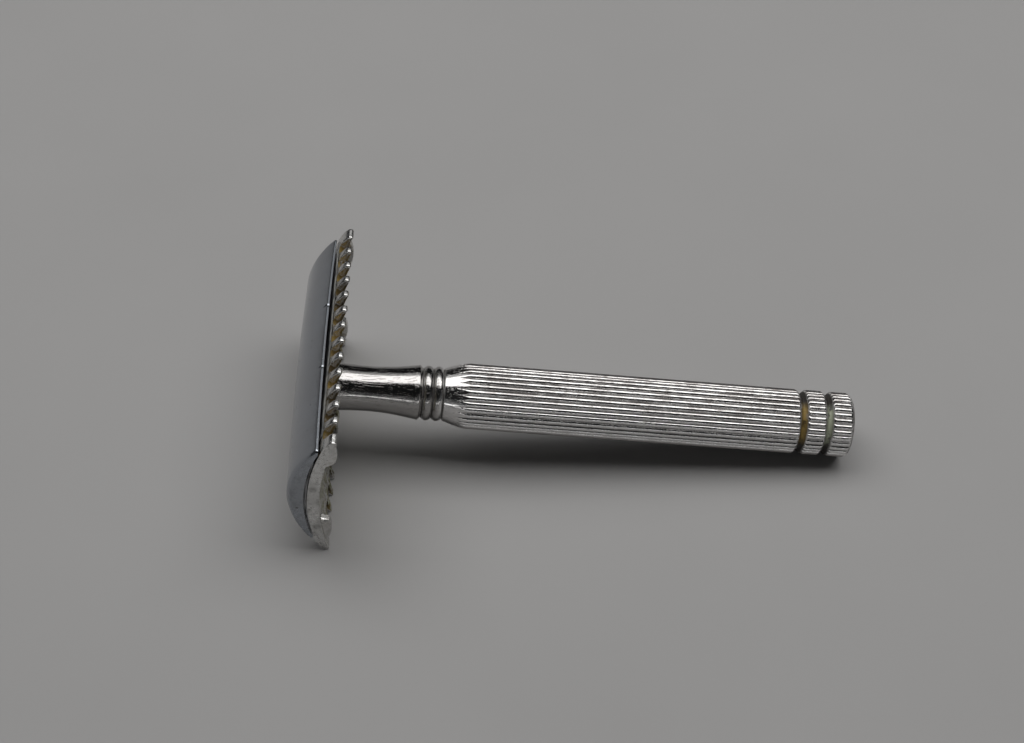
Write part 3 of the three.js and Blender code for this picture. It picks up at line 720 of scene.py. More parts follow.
def cap_outline(head, drop):
    """The cap's closed section, clockwise, with its crown lowered by drop."""
    half = head.cap_half
    under_edge = guard_top(head, half) + head.gap_edge
    under = arc_radius(half, cap_crown(head) - under_edge)
    lip_top = under_edge + head.cap_lip
    dome_edge = half - head.bevel_width
    crown = cap_crown(head) + head.cap_thickness - drop
    dome = arc_radius(dome_edge, crown - lip_top - head.bevel_rise)
    over = [(x, crown - sag(dome, x)) for x in np.linspace(-dome_edge, dome_edge, 57)]
    below = [(x, cap_crown(head) - sag(under, x)) for x in np.linspace(half, -half, 49)]
    outline = [(-half, lip_top), *over, (half, lip_top), *below]
    lip_right, low_right = len(over) + 1, len(over) + 2
    low_left = len(outline) - 1
    outline = rounded(outline, {0, lip_right, low_right, low_left}, head.edge_round)
    return rounded(outline, {5, len(over) + 4}, 1.6 * head.edge_round)


def cap_section(head, y, inward):
    """The cap's ring at y, drawn in by inward as its end face rounds off."""
    from_end = HEAD_HALF - abs(y)
    bevel = max(0.0, 1 - from_end / head.end_bevel_length)
    outline = cap_outline(head, head.end_bevel_rise * bevel ** 1.5)
    fade = np.clip((head.cap_half - np.abs(outline[:, 0])) / (0.6 * MM), 0.15, 1)
    outline = inset(outline, inward * fade)
    corner = head.corner_radius
    if from_end < corner:
        narrowed = corner - math.sqrt(corner ** 2 - (corner - from_end) ** 2)
        outline[:, 0] *= 1 - narrowed / head.cap_half
    lip = np.clip(np.abs(outline[:, 0]) / head.cap_half * 8 - 7.2, 0, 1)
    for place, depth in NICKS:
        outline[:, 0] -= (np.sign(outline[:, 0]) * (outline[:, 0] > 0) * depth * lip
                          * math.exp(-((y - place) / NICK_REACH) ** 2))
    outline[:, 1] += cap_rise(head, y)
    return upright(outline, y)


def cap_plate(head, material):
    """The domed cap, hollow below, with holes for the stud and the pins."""
    soft = head.edge_round
    turn = np.linspace(0, math.pi / 2, 5)
    ends = [(HEAD_HALF - soft * (1 - math.cos(a)), soft * (1 - math.sin(a))) for a in turn]
    bevel = HEAD_HALF - soft - np.linspace(0, 1, 9)[1:] * (head.end_bevel_length - soft)
    middle = np.linspace(bevel[-1], 0, 14)[1:]
    half = [*ends, *((y, 0.0) for y in bevel), *((y, 0.0) for y in middle)]
    stations = half + [(-y, inward) for y, inward in reversed(half[:-1])]
    fine = [place + step * 0.08 * MM for place, _ in NICKS for step in range(-5, 6)]
    stations = sorted([*stations, *((y, 0.0) for y in fine)], key=lambda s: s[0])
    rings = [cap_section(head, y, inward) for y, inward in stations]
    points, faces = lofted(rings)
    plate = piece_of("cap_plate", points, faces, material)
    cutters = [rod_cutter(CAP_STUD_HOLE, 0, 0.0, stud_top(head) + FIT)]
    for y in PIN_PLACES:
        cutters.append(rod_cutter(PIN_DIAMETER / 2 + FIT, y, 0.0, pin_top(head, y) + FIT))
    carved(plate, cutters)
    smooth(plate.data)
    return plate


def rod_cutter(radius, y, foot, top):
    """A round cutter, laid down with the razor."""
    points, faces = turned([(0, foot), (radius, foot), (radius, top), (0, top)], 40)
    points[:, 1] += y
    return piece_of("cutter", points, faces, None)


# ---- Comb guard --------------------------------------------------------------------------

ACROSS_POINTS = (26, 46, 44)      # along the top, round the tooth and along the underside


def tooth_path(head):
    """Half the guard's section through a tooth: over the top, round the tip and back."""
    tip = head.cap_half + head.comb_reach
    root = head.cap_half - COMB_ROOT_INSET
    land_foot = -sag(head.guard_under_radius, tip - TIP_ROUND) + TIP_ROUND
    land_top = land_foot + TIP_LAND
    start = np.array([root, guard_top(head, root)])
    bend = np.array([root + 0.73 * (tip - root), start[1] + 0.37 * (land_top - start[1])])
    end = np.array([tip, land_top])
    slope = [(1 - t) ** 2 * start + 2 * t * (1 - t) * bend + t ** 2 * end
             for t in np.linspace(0, 1, 25)]
    over = [(x, guard_top(head, x)) for x in np.linspace(0, root, 40)[:-1]]
    under = [(x, -sag(head.guard_under_radius, x)) for x in np.linspace(tip - TIP_ROUND, 0, 60)]
    path = [*over, *slope, (tip, land_foot), *under]
    land = len(over) + len(slope)
    path = rounded(path, {land}, 0.8 * TIP_ROUND, 5)
    return rounded(path, {land - 1}, 0.1 * MM, 4), tip


def resampled(path, count, crowd=None):
    """Count points evenly along a path, or closer together where crowd is high."""
    step = np.linalg.norm(np.diff(path, axis=0), axis=1)
    if crowd is not None:
        step = step * (crowd[1:] + crowd[:-1]) / 2
    run = np.concatenate([[0], np.cumsum(step)])
    at = np.linspace(0, run[-1], count)
    return np.stack([np.interp(at, run, path[:, i]) for i in (0, 1)], 1)


def guard_section(head, depth, inward, in_slot, lobe):
    """Half a section. Depth is how far the slot's rounded root has come forward; in_slot
    ends the section there, and otherwise inward draws in the tooth as its side rounds off.
    Lobe lowers the underside, from 0 to 1."""
    path, tip = tooth_path(head)
    root = np.array([tip - head.slot_depth, guard_top(head, tip - head.slot_depth)])
    lean = np.array([math.cos(SLOT_LEAN), -math.sin(SLOT_LEAN)])
    reach = (path - root) @ lean - depth
    beyond = np.flatnonzero(reach > 0)
    first, last = beyond[0], beyond[-1]

    def crossing(near, far):
        share = reach[near] / (reach[near] - reach[far])
        return path[near] + share * (path[far] - path[near])

    top_cut, under_cut = crossing(first - 1, first), crossing(last + 1, last)
    over = resampled(np.vstack([path[:first], top_cut]), ACROSS_POINTS[0])
    under = resampled(np.vstack([under_cut, path[last + 1:]]), ACROSS_POINTS[2])
    if in_slot:
        across = np.linspace(0, 1, ACROSS_POINTS[1])[:, None]
        round_off = rounded([over[-2], top_cut, under_cut, under[1]], {1, 2}, 0.07 * MM, 6)
        tooth = resampled(np.vstack([top_cut, round_off[2:-2], under_cut]), len(across))
    else:
        outer = np.vstack([top_cut, path[first:last + 1], under_cut])
        from_foot = np.linalg.norm(outer - [tip, -1.6 * MM], axis=1)
        crowd = 1 + 5 * np.exp(-(from_foot / (0.6 * MM)) ** 2)
        tooth = resampled(outer, ACROSS_POINTS[1], crowd)
        run = np.concatenate([[0], np.cumsum(np.linalg.norm(np.diff(tooth, axis=0), axis=1))])
        fade = np.clip(np.minimum(run, run[-1] - run) / (0.5 * MM), 0, 1)
        whole = np.vstack([over[-2], tooth, under[1]])
        moved = inset(whole, np.concatenate([[0], inward * fade, [0]]))
        tooth = moved[1:-1]
    section = np.vstack([over, tooth[1:-1], under])
    if lobe > 0:
        centre = tip - LOBE_INSET - LOBE_WIDTH / 2
        across = (section[:, 0] - centre) / (LOBE_WIDTH / 2)
        flat = np.clip(1 - np.abs(across) ** 2, 0, None) ** 0.5
        foot = -sag(head.guard_under_radius, centre) - LOBE_DROP + LOBE_ROUND * (1 - flat)
        edge = np.clip((1.06 - np.abs(across)) / 0.12, 0, 1)
        is_under = np.arange(len(section)) > len(over) + len(tooth) * 0.72
        lowered = section[:, 1] + lobe * edge * (np.minimum(foot, section[:, 1]) - section[:, 1])
        section[:, 1] = np.where(is_under, lowered, section[:, 1])
    return section


def slot_stations(head):
    """Half a slot and the rounded side of a tooth, as (y, depth, inward, in_slot)."""
    half, turn = head.slot_width / 2, SLOT_ROOT_ROUND
    stations = [(0.0, 0.0, 0.0, True), (0.5 * (half - turn), 0.0, 0.0, True)]
    for angle in np.radians([0, 22, 42, 60, 76, 90]):
        stations.append((half - turn * (1 - math.sin(angle)), turn * (1 - math.cos(angle)),
                         0.0, True))
    for angle in np.radians([0, 24, 48, 70, 90]):
        stations.append((half + head.tooth_round * (1 - math.cos(angle)), turn,
                         head.tooth_round * (1 - math.sin(angle)), False))
    return stations


def guard_rings(head, stations, lobes=None):
    """Rings of half sections at stations, in the standing frame."""
    rings = []
    for index, (y, depth, inward, in_slot) in enumerate(stations):
        section = guard_section(head, depth, inward, in_slot, lobes[index] if lobes else 0.0)
        rings.append(upright(section, y))
    return rings


def slot_pitch(head):
    """From slot to slot."""
    return (2 * HEAD_HALF - 2 * head.ear_width - head.slot_width) / (head.slot_count - 1)


def tooth_cell(head):
    """One tooth with half a slot on each side of it, open on the centre line."""
    near = slot_stations(head)
    pitch = slot_pitch(head)
    stations = near + [(pitch / 2, SLOT_ROOT_ROUND, 0.0, False)]
    stations += [(pitch - y, d, i, s) for y, d, i, s in reversed(near)]
    return lofted(guard_rings(head, stations), closed=False, capped=False)


def ear_cell(head):
    """A corner ear with its lobe, from the last slot's middle to the rounded end."""
    start = (head.slot_count - 1) / 2 * slot_pitch(head)
    turn = SLOT_ROOT_ROUND
    stations = [(start + y, d, i, s) for y, d, i, s in slot_stations(head)]
    wall = HEAD_HALF - head.ear_width
    lobe_end = HEAD_HALF - LOBE_END_INSET
    more = [0.30, 0.45, 0.62, 0.80, 1.0]
    stations += [(wall + share * (lobe_end - wall), turn, 0.0, False) for share in more]
    stations += [(lobe_end + step * MM, turn, 0.0, False) for step in (0.03, 0.06, 0.12, 0.35)]
    soft = head.edge_round
    for angle in np.radians([90, 66, 44, 22, 0]):
        stations.append((HEAD_HALF - soft * (1 - math.cos(angle)), turn,
                         soft * (1 - math.sin(angle)), False))
    lobes = []
    for y, _, _, in_slot in stations:
        rise = min((y - wall) / (0.16 * MM), (lobe_end + 0.06 * MM - y) / (0.2 * MM))
        rise = min(max(rise, 0.0), 1.0)
        lobes.append(math.sin(rise * math.pi / 2))
    rings = guard_rings(head, stations, lobes)
    points, faces = lofted(rings, closed=False, capped=False)
    count = len(rings[0])
    last = (len(rings) - 1) * count
    faces.append(tuple(range(last, last + count)))
    return points, faces


def comb_tree():
    """Repeats the tooth along one side, adds the corner ears, turns a copy of the side
    about the handle's axis, joins the two, cuts the holes and lays the guard down."""
    build, given, result = geometry_tree("comb", {
        "Ears": "Object", "Cutters": "Object", "Teeth": "Int", "Pitch": "Float",
        "Merge distance": "Float", "Seat": "Vector", "Lie": "Vector", "Finish": "Material"})
    half_span = build.node("ShaderNodeMath", {"operation": "MULTIPLY"},
                           {0: given["Pitch"], 1: given["Teeth"]})
    start = build.node("ShaderNodeMath", {"operation": "MULTIPLY"},
                       {0: half_span.outputs[0], 1: -0.5})
    first = build.node("ShaderNodeCombineXYZ", None, {1: start.outputs[0]})
    step = build.node("ShaderNodeCombineXYZ", None, {1: given["Pitch"]})
    row = build.node("GeometryNodeMeshLine", None,
                     {"Count": given["Teeth"], "Start Location": first.outputs[0],
                      "Offset": step.outputs[0]})
    teeth = build.node("GeometryNodeInstanceOnPoints", None,
                       {"Points": row.outputs[0], "Instance": given["Geometry"]})
    ears = build.node("GeometryNodeObjectInfo", {"transform_space": "ORIGINAL"},
                      {"Object": given["Ears"]})
    side = build.node("GeometryNodeJoinGeometry", None, {0: teeth.outputs[0]})
    build.feed(side.inputs[0], ears.outputs["Geometry"])
    other = build.node("GeometryNodeTransform", None,
                       {"Geometry": side.outputs[0], "Rotation": (0.0, 0.0, math.pi)})
    both = build.node("GeometryNodeJoinGeometry", None, {0: side.outputs[0]})
    build.feed(both.inputs[0], other.outputs[0])
    solid = build.node("GeometryNodeRealizeInstances", None, {0: both.outputs[0]})
    whole = build.node("GeometryNodeMergeByDistance", None,
                       {"Geometry": solid.outputs[0], "Distance": given["Merge distance"]})
    cutters = build.node("GeometryNodeObjectInfo", {"transform_space": "ORIGINAL"},
                         {"Object": given["Cutters"]})
    cut = build.node("GeometryNodeMeshBoolean", {"operation": "DIFFERENCE", "solver": "EXACT"},
                     {"Mesh 1": whole.outputs[0], "Mesh 2": cutters.outputs["Geometry"]})
    return lay_and_paint(build, given, result, cut.outputs[0])


def guard_cutters(head):
    """The stud's hole, the pins' holes and the seat for the neck, as one mesh."""
    top = head.guard_thickness + 1 * MM
    foot = -1 * MM
    pin = PIN_DIAMETER / 2 + PIN_SLACK
    profiles = [(0.0, [(0, foot), (NECK_SEAT, foot), (NECK_SEAT, 0), (GUARD_STUD_HOLE, 0),
                       (GUARD_STUD_HOLE, top), (0, top)])]
    for y in PIN_PLACES:
        profiles.append((y, [(0, foot), (pin, foot), (pin, top), (0, top)]))
    points, faces = [], []
    for y, profile in profiles:
        more, sides = turned(profile, 48)
        more[:, 1] += y
        faces += [tuple(i + sum(map(len, points)) for i in side) for side in sides]
        points.append(more)
    return np.concatenate(points), faces


def comb_guard(head, material):
    """The whole guard, from one tooth cell and two ears."""
    points, faces = ear_cell(head)
    mirrored = points * [1, -1, 1]
    faces += [tuple(i + len(points) for i in face[::-1]) for face in faces]
    ears = piece_of("ears", np.concatenate([points, mirrored]), faces, None, lie=False)
    cutters = piece_of("holes", *guard_cutters(head), None, lie=False)
    guard = piece_of("comb_guard_plate", *tooth_cell(head), None, lie=False)
    build = comb_tree()
    run_tree(guard, build, {
        "Ears": ears, "Cutters": cutters, "Teeth": head.slot_count - 1,
        "Pitch": slot_pitch(head), "Merge distance": MERGE, "Seat": tuple(SEAT), "Lie": LIE,
        "Finish": material})
    for spare in (ears, cutters):
        bpy.data.objects.remove(spare)
    tidy(guard.data)
    smooth(guard.data)
    return guard


# ---- Blade -------------------------------------------------------------------------------

GROUND_WIDTH = 0.9 * MM           # ground bevel along each edge
BLADE_NOTCH = (4.2 * MM, 2.4 * MM)
BLADE_SLOT = (1.6 * MM, 15.7 * MM)


def blade(head, material):
    """The blade, bent over the guard, with ground edges, corner notches and its slot."""
    under = head.guard_top_radius + head.blade_clearance
    centre = head.guard_thickness - head.guard_top_radius
    half = head.blade_width / 2 / under
    run = np.linspace(-half, half, 73)
    ground = np.clip((half - np.abs(run)) * under / GROUND_WIDTH, 0.04, 1)
    ring = []
    for sign, order in ((1, slice(None)), (-1, slice(None, None, -1))):
        radius = under + head.blade_thickness / 2 * (1 + sign * ground[order])
        ring += list(zip(radius * np.sin(run[order]), centre + radius * np.cos(run[order])))
    ring = np.array(ring)
    rings = [upright(ring, y)
             for y in np.linspace(-head.blade_length / 2, head.blade_length / 2, 9)]
    sheet = piece_of("razor_blade", *lofted(rings), material)
    foot, top = -3 * MM, head.guard_thickness + 3 * MM
    cutters = []
    wide, long = BLADE_NOTCH
    for x in (-1, 1):
        for y in (-1, 1):
            cutters.append(box_cutter(
                x * head.blade_width / 2, y * head.blade_length / 2, wide, long, foot, top))
    cutters.append(box_cutter(0, 0, BLADE_SLOT[0] / 2, BLADE_SLOT[1], foot, top))
    cutters.append(rod_cutter(BLADE_STUD_HOLE, 0, foot, top))
    for y in PIN_PLACES:
        cutters.append(rod_cutter(PIN_DIAMETER / 2 + PIN_SLACK, y, foot, top))
    carved(sheet, cutters)
    smooth(sheet.data)
    return sheet


def box_cutter(x, y, half_x, half_y, foot, top):
    """A square cutter, laid down with the razor."""
    corners = np.array([(-1, -1), (-1, 1), (1, 1), (1, -1)]) * [half_x, half_y] + [x, y]
    rings = [np.column_stack([corners, np.full(4, z)]) for z in (foot, top)]
    return piece_of("cutter", *lofted(rings), None)


# ---- Handle ------------------------------------------------------------------------------

VEE_PLACES = (3.85 * MM, 7.85 * MM)     # up from the butt
BEADS = 2
LIP_GROOVE = 0.6 * MM                  # from the lip down to the first bead
RIB_SHARES = np.sin(np.linspace(-math.pi / 2, math.pi / 2, 13)) / 2
REED_SPAN = 1.94                       # 2 would take a rib's round all the way down
CLEAR_OF_RIBS = 0.2 * MM               # the turned outline passes outside the ribs
RUN_OUT = 0.04 * MM                    # softens where a flute runs out into the shoulder
NECK_BORE = 2.4 * MM                   # radius
BUSH_RADIUS = 2.9 * MM
BUSH_LENGTH = 7.9 * MM
PLUG_RADIUS = 3.95 * MM
PLUG_TAPER = 0.045 * MM                # how much wider the plug is at the butt
PLUG_LENGTH = 2.05 * MM


def handle_profile(handle):
    """The turned outline from the neck's end to the butt, as (radius, height)."""
    top, butt = -FIT, -FIT - handle.handle_length
    waist, lip = -handle.waist_place, -handle.lip_place
    profile = [(handle.neck_end - 0.12 * MM, top), (handle.neck_end - 0.03 * MM, top - 0.03 * MM),
               (handle.neck_end, top - 0.12 * MM)]
    for share in np.linspace(0.97, 0, 12):
        profile.append((handle.neck_waist + (handle.neck_end - handle.neck_waist) * share ** 1.8,
                        waist + (top - waist) * share))
    for share in np.linspace(0, 1, 22)[1:]:
        profile.append((handle.neck_waist + (handle.lip_radius - handle.neck_waist) * share ** 1.8,
                        waist + (lip + 0.06 * MM - waist) * share))
    groove = handle.lip_radius - handle.bead_rise
    profile += [(handle.lip_radius + 0.01 * MM, lip - 0.04 * MM),
                (handle.lip_radius - 0.03 * MM, lip - 0.13 * MM),
                (handle.lip_radius - 0.16 * MM, lip - 0.27 * MM),
                (groove + 0.07 * MM, lip - 0.46 * MM)]
    bead_top = lip - LIP_GROOVE
    for bead in range(BEADS):
        for share in np.linspace(0, 1, 15)[:-1]:
            swell = math.sin(math.pi * share) ** 0.8
            profile.append((groove + handle.bead_rise * swell,
                            bead_top - (bead + share) * handle.bead_pitch))
    foot = bead_top - BEADS * handle.bead_pitch
    start, start_height = groove + 0.3 * MM, foot - 0.17 * MM
    profile += [(groove, foot), (groove + 0.14 * MM, foot - 0.06 * MM), (start, start_height)]
    for share in np.linspace(0, 1, 34)[1:]:
        swell = share + 0.1 * math.sin(math.pi * share)
        profile.append((start + (handle.grip_radius - start) * swell,
                        start_height - (handle.shoulder_length + 0.2 * MM) * share))
    clear, low = handle.grip_radius + CLEAR_OF_RIBS, handle.grip_radius - handle.vee_depth
    profile.append((clear, profile[-1][1] - 0.12 * MM))
    slope = handle.vee_width / 2 / handle.vee_depth
    for z in np.linspace(profile[-1][1], butt + VEE_PLACES[1] + 1.3 * MM, 14)[1:]:
        profile.append((clear, z))
    depth = clear - low
    for place in reversed(VEE_PLACES):
        for share in np.linspace(-1, 1, 21):
            rise = math.sqrt(share ** 2 + 0.01) * depth
            profile.append((low + rise - 0.08 * depth, butt + place - share * slope * depth))
        profile.append((clear, profile[-1][1] - 0.1 * MM))
    profile.append((clear, butt + 0.95 * MM))
    for share in np.linspace(0, 1, 8):
        profile.append((handle.grip_radius + 0.04 * MM - 0.5 * MM * share ** 1.25,
                        butt + 0.72 * MM * (1 - share)))
    return profile


def bore_profile(handle):
    """The hollow from the butt up to the neck's end, as (radius, height)."""
    top, butt = -FIT, -FIT - handle.handle_length
    shoulder = -handle.lip_place - LIP_GROOVE - BEADS * handle.bead_pitch - handle.shoulder_length
    bush_seat, plug_seat = top - BUSH_LENGTH, butt + PLUG_LENGTH
    return [(PLUG_RADIUS + PLUG_TAPER + FIT, butt), (PLUG_RADIUS + FIT, plug_seat),
            (handle.bore, plug_seat), (handle.bore, shoulder - 1.2 * MM),
            (NECK_BORE, shoulder), (NECK_BORE, bush_seat),
            (BUSH_RADIUS, bush_seat), (BUSH_RADIUS, top)]


def rib_radius(handle, share):
    """Outline of one rib, a round reed that meets the next in a narrow vee."""
    return handle.grip_radius - handle.flute_depth * (1 - math.sqrt(1 - (REED_SPAN * share) ** 2))


def rib_strip(handle):
    """The full-length strip of the handle that carries one rib, outside and inside."""
    step = 2 * math.pi / handle.rib_count
    outer, inner = handle_profile(handle), bore_profile(handle)
    columns = []
    for share in RIB_SHARES:
        rib = rib_radius(handle, share)
        radii = [(radius + rib - math.hypot(radius - rib, RUN_OUT)) / 2 for radius, _ in outer]
        radii += [radius for radius, _ in inner]
        heights = [z for _, z in outer] + [z for _, z in inner]
        angle = math.pi + step * share
        columns.append(np.stack([np.multiply(radii, math.cos(angle)),
                                 np.multiply(radii, math.sin(angle)), heights], 1))
    return lofted(columns, closed=True, capped=False)


def rib_tree():
    """Repeats the strip round the axis, joins the strips and lays the handle down."""
    build, given, result = geometry_tree("ribs", {
        "Ribs": "Int", "Merge distance": "Float", "Seat": "Vector", "Lie": "Vector",
        "Finish": "Material"})
    row = build.node("GeometryNodeMeshLine", None,
                     {"Count": given["Ribs"], "Offset": (0.0, 0.0, 0.0)})
    index = build.node("GeometryNodeInputIndex")
    turn = build.node("ShaderNodeMath", {"operation": "MULTIPLY"},
                      {0: index.outputs[0], 1: 2 * math.pi})
    share = build.node("ShaderNodeMath", {"operation": "DIVIDE"},
                       {0: turn.outputs[0], 1: given["Ribs"]})
    about = build.node("ShaderNodeCombineXYZ", None, {2: share.outputs[0]})
    strips = build.node("GeometryNodeInstanceOnPoints", None,
                        {"Points": row.outputs[0], "Instance": given["Geometry"],
                         "Rotation": about.outputs[0]})
    solid = build.node("GeometryNodeRealizeInstances", None, {0: strips.outputs[0]})
    whole = build.node("GeometryNodeMergeByDistance", None,
                       {"Geometry": solid.outputs[0], "Distance": given["Merge distance"]})
    return lay_and_paint(build, given, result, whole.outputs[0])


def handle_body(handle, material):
    """The whole handle, from one ribbed strip."""
    body = piece_of("handle_body", *rib_strip(handle), None, lie=False)
    run_tree(body, rib_tree(), {
        "Ribs": handle.rib_count, "Merge distance": MERGE, "Seat": tuple(SEAT), "Lie": LIE,
        "Finish": material})
    tidy(body.data)
    smooth(body.data, REEDED_CREASE)
    return body


# ---- Stud and pins -----------------------------------------------------------------------

THREAD_DEPTH = 0.611              # as shares of the pitch
THREAD_FOOT = 0.36                # half a ridge's width at its foot
THREAD_FLANK = 0.28               # a flank's run along the stud
STUD_END = -6.5 * MM              # below the seat
THREAD_TOP = -0.5 * MM
STUD_HEAD = 1.3 * MM              # the plain head, inside the cap
PIN_FOOT = -0.4 * MM
PIN_NOSE = 0.45 * MM


def threaded_stud(head, handle, material):
    """The stud, with its helical thread, plain waist and head."""
    pitch = handle.thread_pitch
    crest = handle.thread_major / 2
    root = crest - THREAD_DEPTH * pitch
    top = stud_top(head)
    angles = np.linspace(0, 2 * math.pi, 48, endpoint=False)
    rings = [circle(0.0, angles, STUD_END)]
    for z in np.arange(STUD_END, THREAD_TOP, pitch / 12):
        off = np.abs((z / pitch - angles / (2 * math.pi) + 0.5) % 1 - 0.5)
        radius = root + (crest - root) * np.clip((THREAD_FOOT - off) / THREAD_FLANK, 0, 1)
        radius = np.minimum(radius, root - 0.2 * MM + (z - STUD_END) * 1.1)
        rings.append(circle(radius, angles, z))
    head_foot = top - STUD_HEAD
    waist = root - 0.03 * MM
    shank = [(waist, THREAD_TOP + 0.1 * MM), (waist, head_foot - 0.15 * MM),
             (waist + 0.12 * MM, head_foot), (crest - 0.06 * MM, head_foot),
             (crest, head_foot + 0.06 * MM), (crest, top - 0.05 * MM), (crest - 0.05 * MM, top),
             (0.0, top)]
    for radius, z in shank:
        rings.append(circle(radius, angles, z))
    return piece_of("threaded_stud", *lofted(rings), material)


def locating_pin(name, head, y, material):
    """A pin with a rounded point, standing down from the cap."""
    radius, foot = PIN_DIAMETER / 2, PIN_FOOT
    nose = [(radius - PIN_NOSE + PIN_NOSE * math.sin(a), foot + 0.5 * MM * (1 - math.cos(a)))
            for a in np.linspace(0, math.pi / 2, 8)]
    top = pin_top(head, y)
    points, faces = turned([(0, foot), *nose, (radius, top), (0, top)])
    points[:, 1] += y
    return piece_of(name, points, faces, material)


# ---- Operators ---------------------------------------------------------------------------

def fitted(piece, body, slot, *nodes):
    """Puts a finished piece on its body in place of CAD nodes."""
    if not piece.data.polygons:
        raise RuntimeError(f"{piece.name} has no faces")
    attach(piece, body)
    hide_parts(*nodes)


def repainted(node, material):
    """Gives a CAD node that stays a better material."""
    slots = frame["nodes"][node].material_slots
    for slot in slots:
        slot.link = "OBJECT"
        slot.material = material


class RAZOR_OT_cap(bpy.types.Operator):
    """Builds the domed cap plate"""
    bl_idname = "razor.cap"
    bl_label = "Cap"

    def execute(self, context):
        plate = cap_plate(context.scene.razor_head, cap_finish(context.scene.razor_finish))
        fitted(plate, "cap", "cap_plating", "cap")
        return {"FINISHED"}


class RAZOR_OT_comb_guard(bpy.types.Operator):
    """Builds the arched guard with its two combs"""
    bl_idname = "razor.comb_guard"
    bl_label = "Comb guard"

    def execute(self, context):
        head = context.scene.razor_head
        guard = comb_guard(head, guard_finish(context.scene.razor_finish, head))
        fitted(guard, "guard", "guard_plating", "comb_guard")
        return {"FINISHED"}


class RAZOR_OT_blade(bpy.types.Operator):
    """Builds the bent blade"""
    bl_idname = "razor.blade"
    bl_label = "Blade"

    def execute(self, context):
        sheet = blade(context.scene.razor_head, blade_finish(context.scene.razor_finish))
        fitted(sheet, "blade", "blade_steel", "blade")
        return {"FINISHED"}


class RAZOR_OT_handle(bpy.types.Operator):
    """Builds the turned and ribbed handle, and finishes its butt plug"""
    bl_idname = "razor.handle"
    bl_label = "Handle"

    def execute(self, context):
        handle = context.scene.razor_handle
        material = handle_finish(context.scene.razor_finish, handle)
        fitted(handle_body(handle, material), "handle", "handle_plating", "handle")
        repainted("butt_plug", material)
        return {"FINISHED"}


class RAZOR_OT_stud_and_pins(bpy.types.Operator):
    """Builds the threaded stud and the locating pins, and finishes the bush"""
    bl_idname = "razor.stud_and_pins"
    bl_label = "Stud and pins"

    def execute(self, context):
        head, handle = context.scene.razor_head, context.scene.razor_handle
        material = brass_finish(context.scene.razor_finish)
        fitted(threaded_stud(head, handle, material), "cap", "bare_brass", "stud")
        for side, y in zip(("near", "far"), PIN_PLACES):
            pin = locating_pin(f"pin_{side}", head, y, material)
            fitted(pin, "cap", "bare_brass", f"locating_pin_{side}")
        repainted("thread_bush", material)
        return {"FINISHED"}


class RAZOR_OT_stage(bpy.types.Operator):
    """Sets up the floor, the lights and the camera"""
    bl_idname = "razor.stage"
    bl_label = "Stage"

    def execute(self, context):
        stage = context.scene.razor_stage
        make_floor(stage)
        make_world(context.scene)
        make_lights(stage)
        make_camera(stage)
        context.scene.view_settings.view_transform = "Standard"
        return {"FINISHED"}


class RAZOR_PT_panel(bpy.types.Panel):
    """The razor's settings and its building steps"""
    bl_label = "Safety razor"
    bl_idname = "RAZOR_PT_panel"
    bl_space_type = "VIEW_3D"
    bl_region_type = "UI"
    bl_category = "Razor"

    def draw(self, context):
        for operator in OPERATORS:
            self.layout.operator(operator.bl_idname)
        for name in GROUPS:
            settings = getattr(context.scene, name)
            box = self.layout.box()
            for key in settings.bl_rna.properties.keys():
                if key not in {"rna_type", "name"}:
                    box.prop(settings, key)


# ---- Stage -------------------------------------------------------------------------------

FLOOR_HALF = 4.0
CENTRE = Vector((0.0, 0.0, 0.0))                 # what every light faces
WHITE, WARM_WHITE = (1.0, 1.0, 1.0), (1.0, 0.992, 0.985)
SOFTBOX_PLACE, SOFTBOX_SIZE = (0.02, 0.155, 0.631), (1.3, 0.44)
EDGE_PLACE, EDGE_SIZE, EDGE_POWER = (0.02, 0.435, 0.50), (1.3, 0.17), 0.34
STRIP_PLACE, STRIP_SIZE, STRIP_POWER = (0.0, -0.85, 0.135), (1.5, 0.06), 0.62
ROOM_GLOW, FRONT_GLOW, LEFT_GLOW = 0.012, 0.06, 0.04


def make_floor(stage):
    """A plain pale floor, with a faint mottle."""
    corners = [(-FLOOR_HALF, -FLOOR_HALF, 0), (FLOOR_HALF, -FLOOR_HALF, 0),
               (FLOOR_HALF, FLOOR_HALF, 0), (-FLOOR_HALF, FLOOR_HALF, 0)]
    mesh = bpy.data.meshes.new("floor")
    mesh.from_pydata(corners, [], [(0, 1, 2, 3)])
    floor = bpy.data.objects.new("floor", mesh)
    bpy.context.scene.collection.objects.link(floor)
    paint = Finish("floor_paint")
    cloud = paint.noise(0.03, 3.0, 0.5)
    paint.set(Base_Color=paint.mix(cloud, stage.floor, tuple(0.93 * c for c in stage.floor)),
              Roughness=0.75)
    mesh.materials.append(paint.material)


def make_world(scene):
    """A dim room, a little lighter low down in front and on the left."""
    world = bpy.data.worlds.new("room")
    world.use_nodes = True
    scene.world = world
    room = Nodes(world.node_tree)
    way = room.node("ShaderNodeTexCoord").outputs["Generated"]
    split = room.node("ShaderNodeSeparateXYZ", None, {0: way}).outputs
    right, ahead, up = (Field(room, axis) for axis in split)
    front = ahead.over(0.1, -0.5) * up.over(0.50, 0.42)
    left = right.over(-0.15, -0.6) * up.over(0.4, 0.1)
    strength = ROOM_GLOW + FRONT_GLOW * front + LEFT_GLOW * left
    room.feed(world.node_tree.nodes["Background"].inputs["Strength"], strength)
    world.node_tree.nodes["Background"].inputs["Color"].default_value = (0.95, 0.97, 1.0, 1.0)


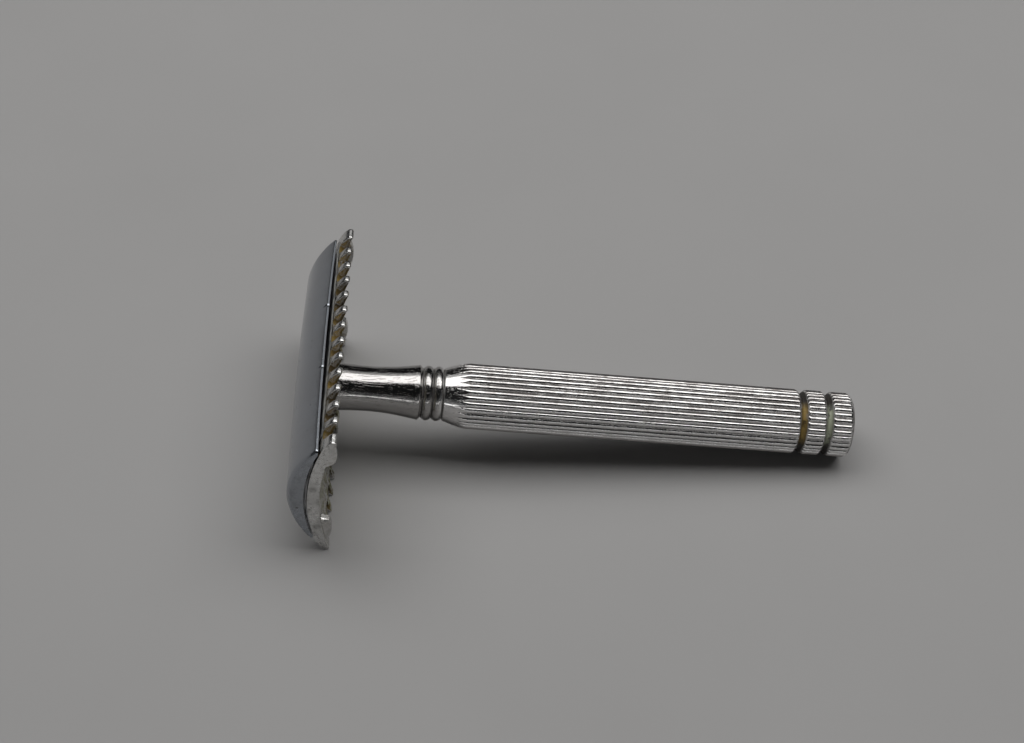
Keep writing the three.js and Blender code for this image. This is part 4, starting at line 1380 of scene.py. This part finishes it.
def area_light(name, place, size, power, tint=WHITE):
    """A rectangular light that faces the centre."""
    light = bpy.data.lights.new(name, "AREA")
    light.shape = "RECTANGLE"
    light.size, light.size_y = size
    light.energy = power
    light.color = tint
    lamp = bpy.data.objects.new(name, light)
    lamp.location = place
    lamp.rotation_euler = (CENTRE - Vector(place)).to_track_quat("-Z", "Y").to_euler()
    bpy.context.scene.collection.objects.link(lamp)


def make_lights(stage):
    """A large softbox overhead, its dim rear edge, and a strip low in front."""
    area_light("softbox", SOFTBOX_PLACE, SOFTBOX_SIZE, stage.softbox, WARM_WHITE)
    area_light("softbox_edge", EDGE_PLACE, EDGE_SIZE, EDGE_POWER)
    area_light("strip", STRIP_PLACE, STRIP_SIZE, STRIP_POWER)


def make_camera(stage):
    """The camera, from its place, turn, dip and roll."""
    data = bpy.data.cameras.new("camera")
    data.lens = stage.lens
    data.sensor_width = 36.0
    data.clip_start = 0.01
    camera = bpy.data.objects.new("camera", data)
    camera.location = stage.camera_place
    turn, dip, roll = stage.camera_turn, stage.camera_dip, stage.camera_roll
    ahead = Vector((-math.sin(turn) * math.cos(dip), math.cos(turn) * math.cos(dip),
                    -math.sin(dip)))
    right = Vector((math.cos(turn), math.sin(turn), 0.0))
    up = right.cross(ahead)
    level_right, level_up = right.copy(), up.copy()
    right = math.cos(roll) * level_right + math.sin(roll) * level_up
    up = math.cos(roll) * level_up - math.sin(roll) * level_right
    basis = Matrix((right, up, -ahead)).transposed()
    camera.rotation_euler = basis.to_euler()
    bpy.context.scene.collection.objects.link(camera)
    bpy.context.scene.camera = camera


# ---- Registering and running -------------------------------------------------------------

OPERATORS = (RAZOR_OT_cap, RAZOR_OT_comb_guard, RAZOR_OT_blade, RAZOR_OT_handle,
             RAZOR_OT_stud_and_pins, RAZOR_OT_stage)
GROUPS = {"razor_head": RazorHead, "razor_handle": RazorHandle, "razor_finish": RazorFinish,
          "razor_stage": RazorStage}


def register():
    """Registers the settings, the operators and the panel."""
    for name, group in GROUPS.items():
        bpy.utils.register_class(group)
        setattr(bpy.types.Scene, name, PointerProperty(type=group))
    for operator in OPERATORS:
        bpy.utils.register_class(operator)
    bpy.utils.register_class(RAZOR_PT_panel)


def unregister():
    """Takes them away again."""
    bpy.utils.unregister_class(RAZOR_PT_panel)
    for operator in reversed(OPERATORS):
        bpy.utils.unregister_class(operator)
    for name, group in reversed(GROUPS.items()):
        delattr(bpy.types.Scene, name)
        bpy.utils.unregister_class(group)


def main():
    """Builds the whole razor and its stage."""
    register()
    for operator in OPERATORS:
        family, name = operator.bl_idname.split(".")
        getattr(getattr(bpy.ops, family), name)()


if __name__ == "__main__":
    main()
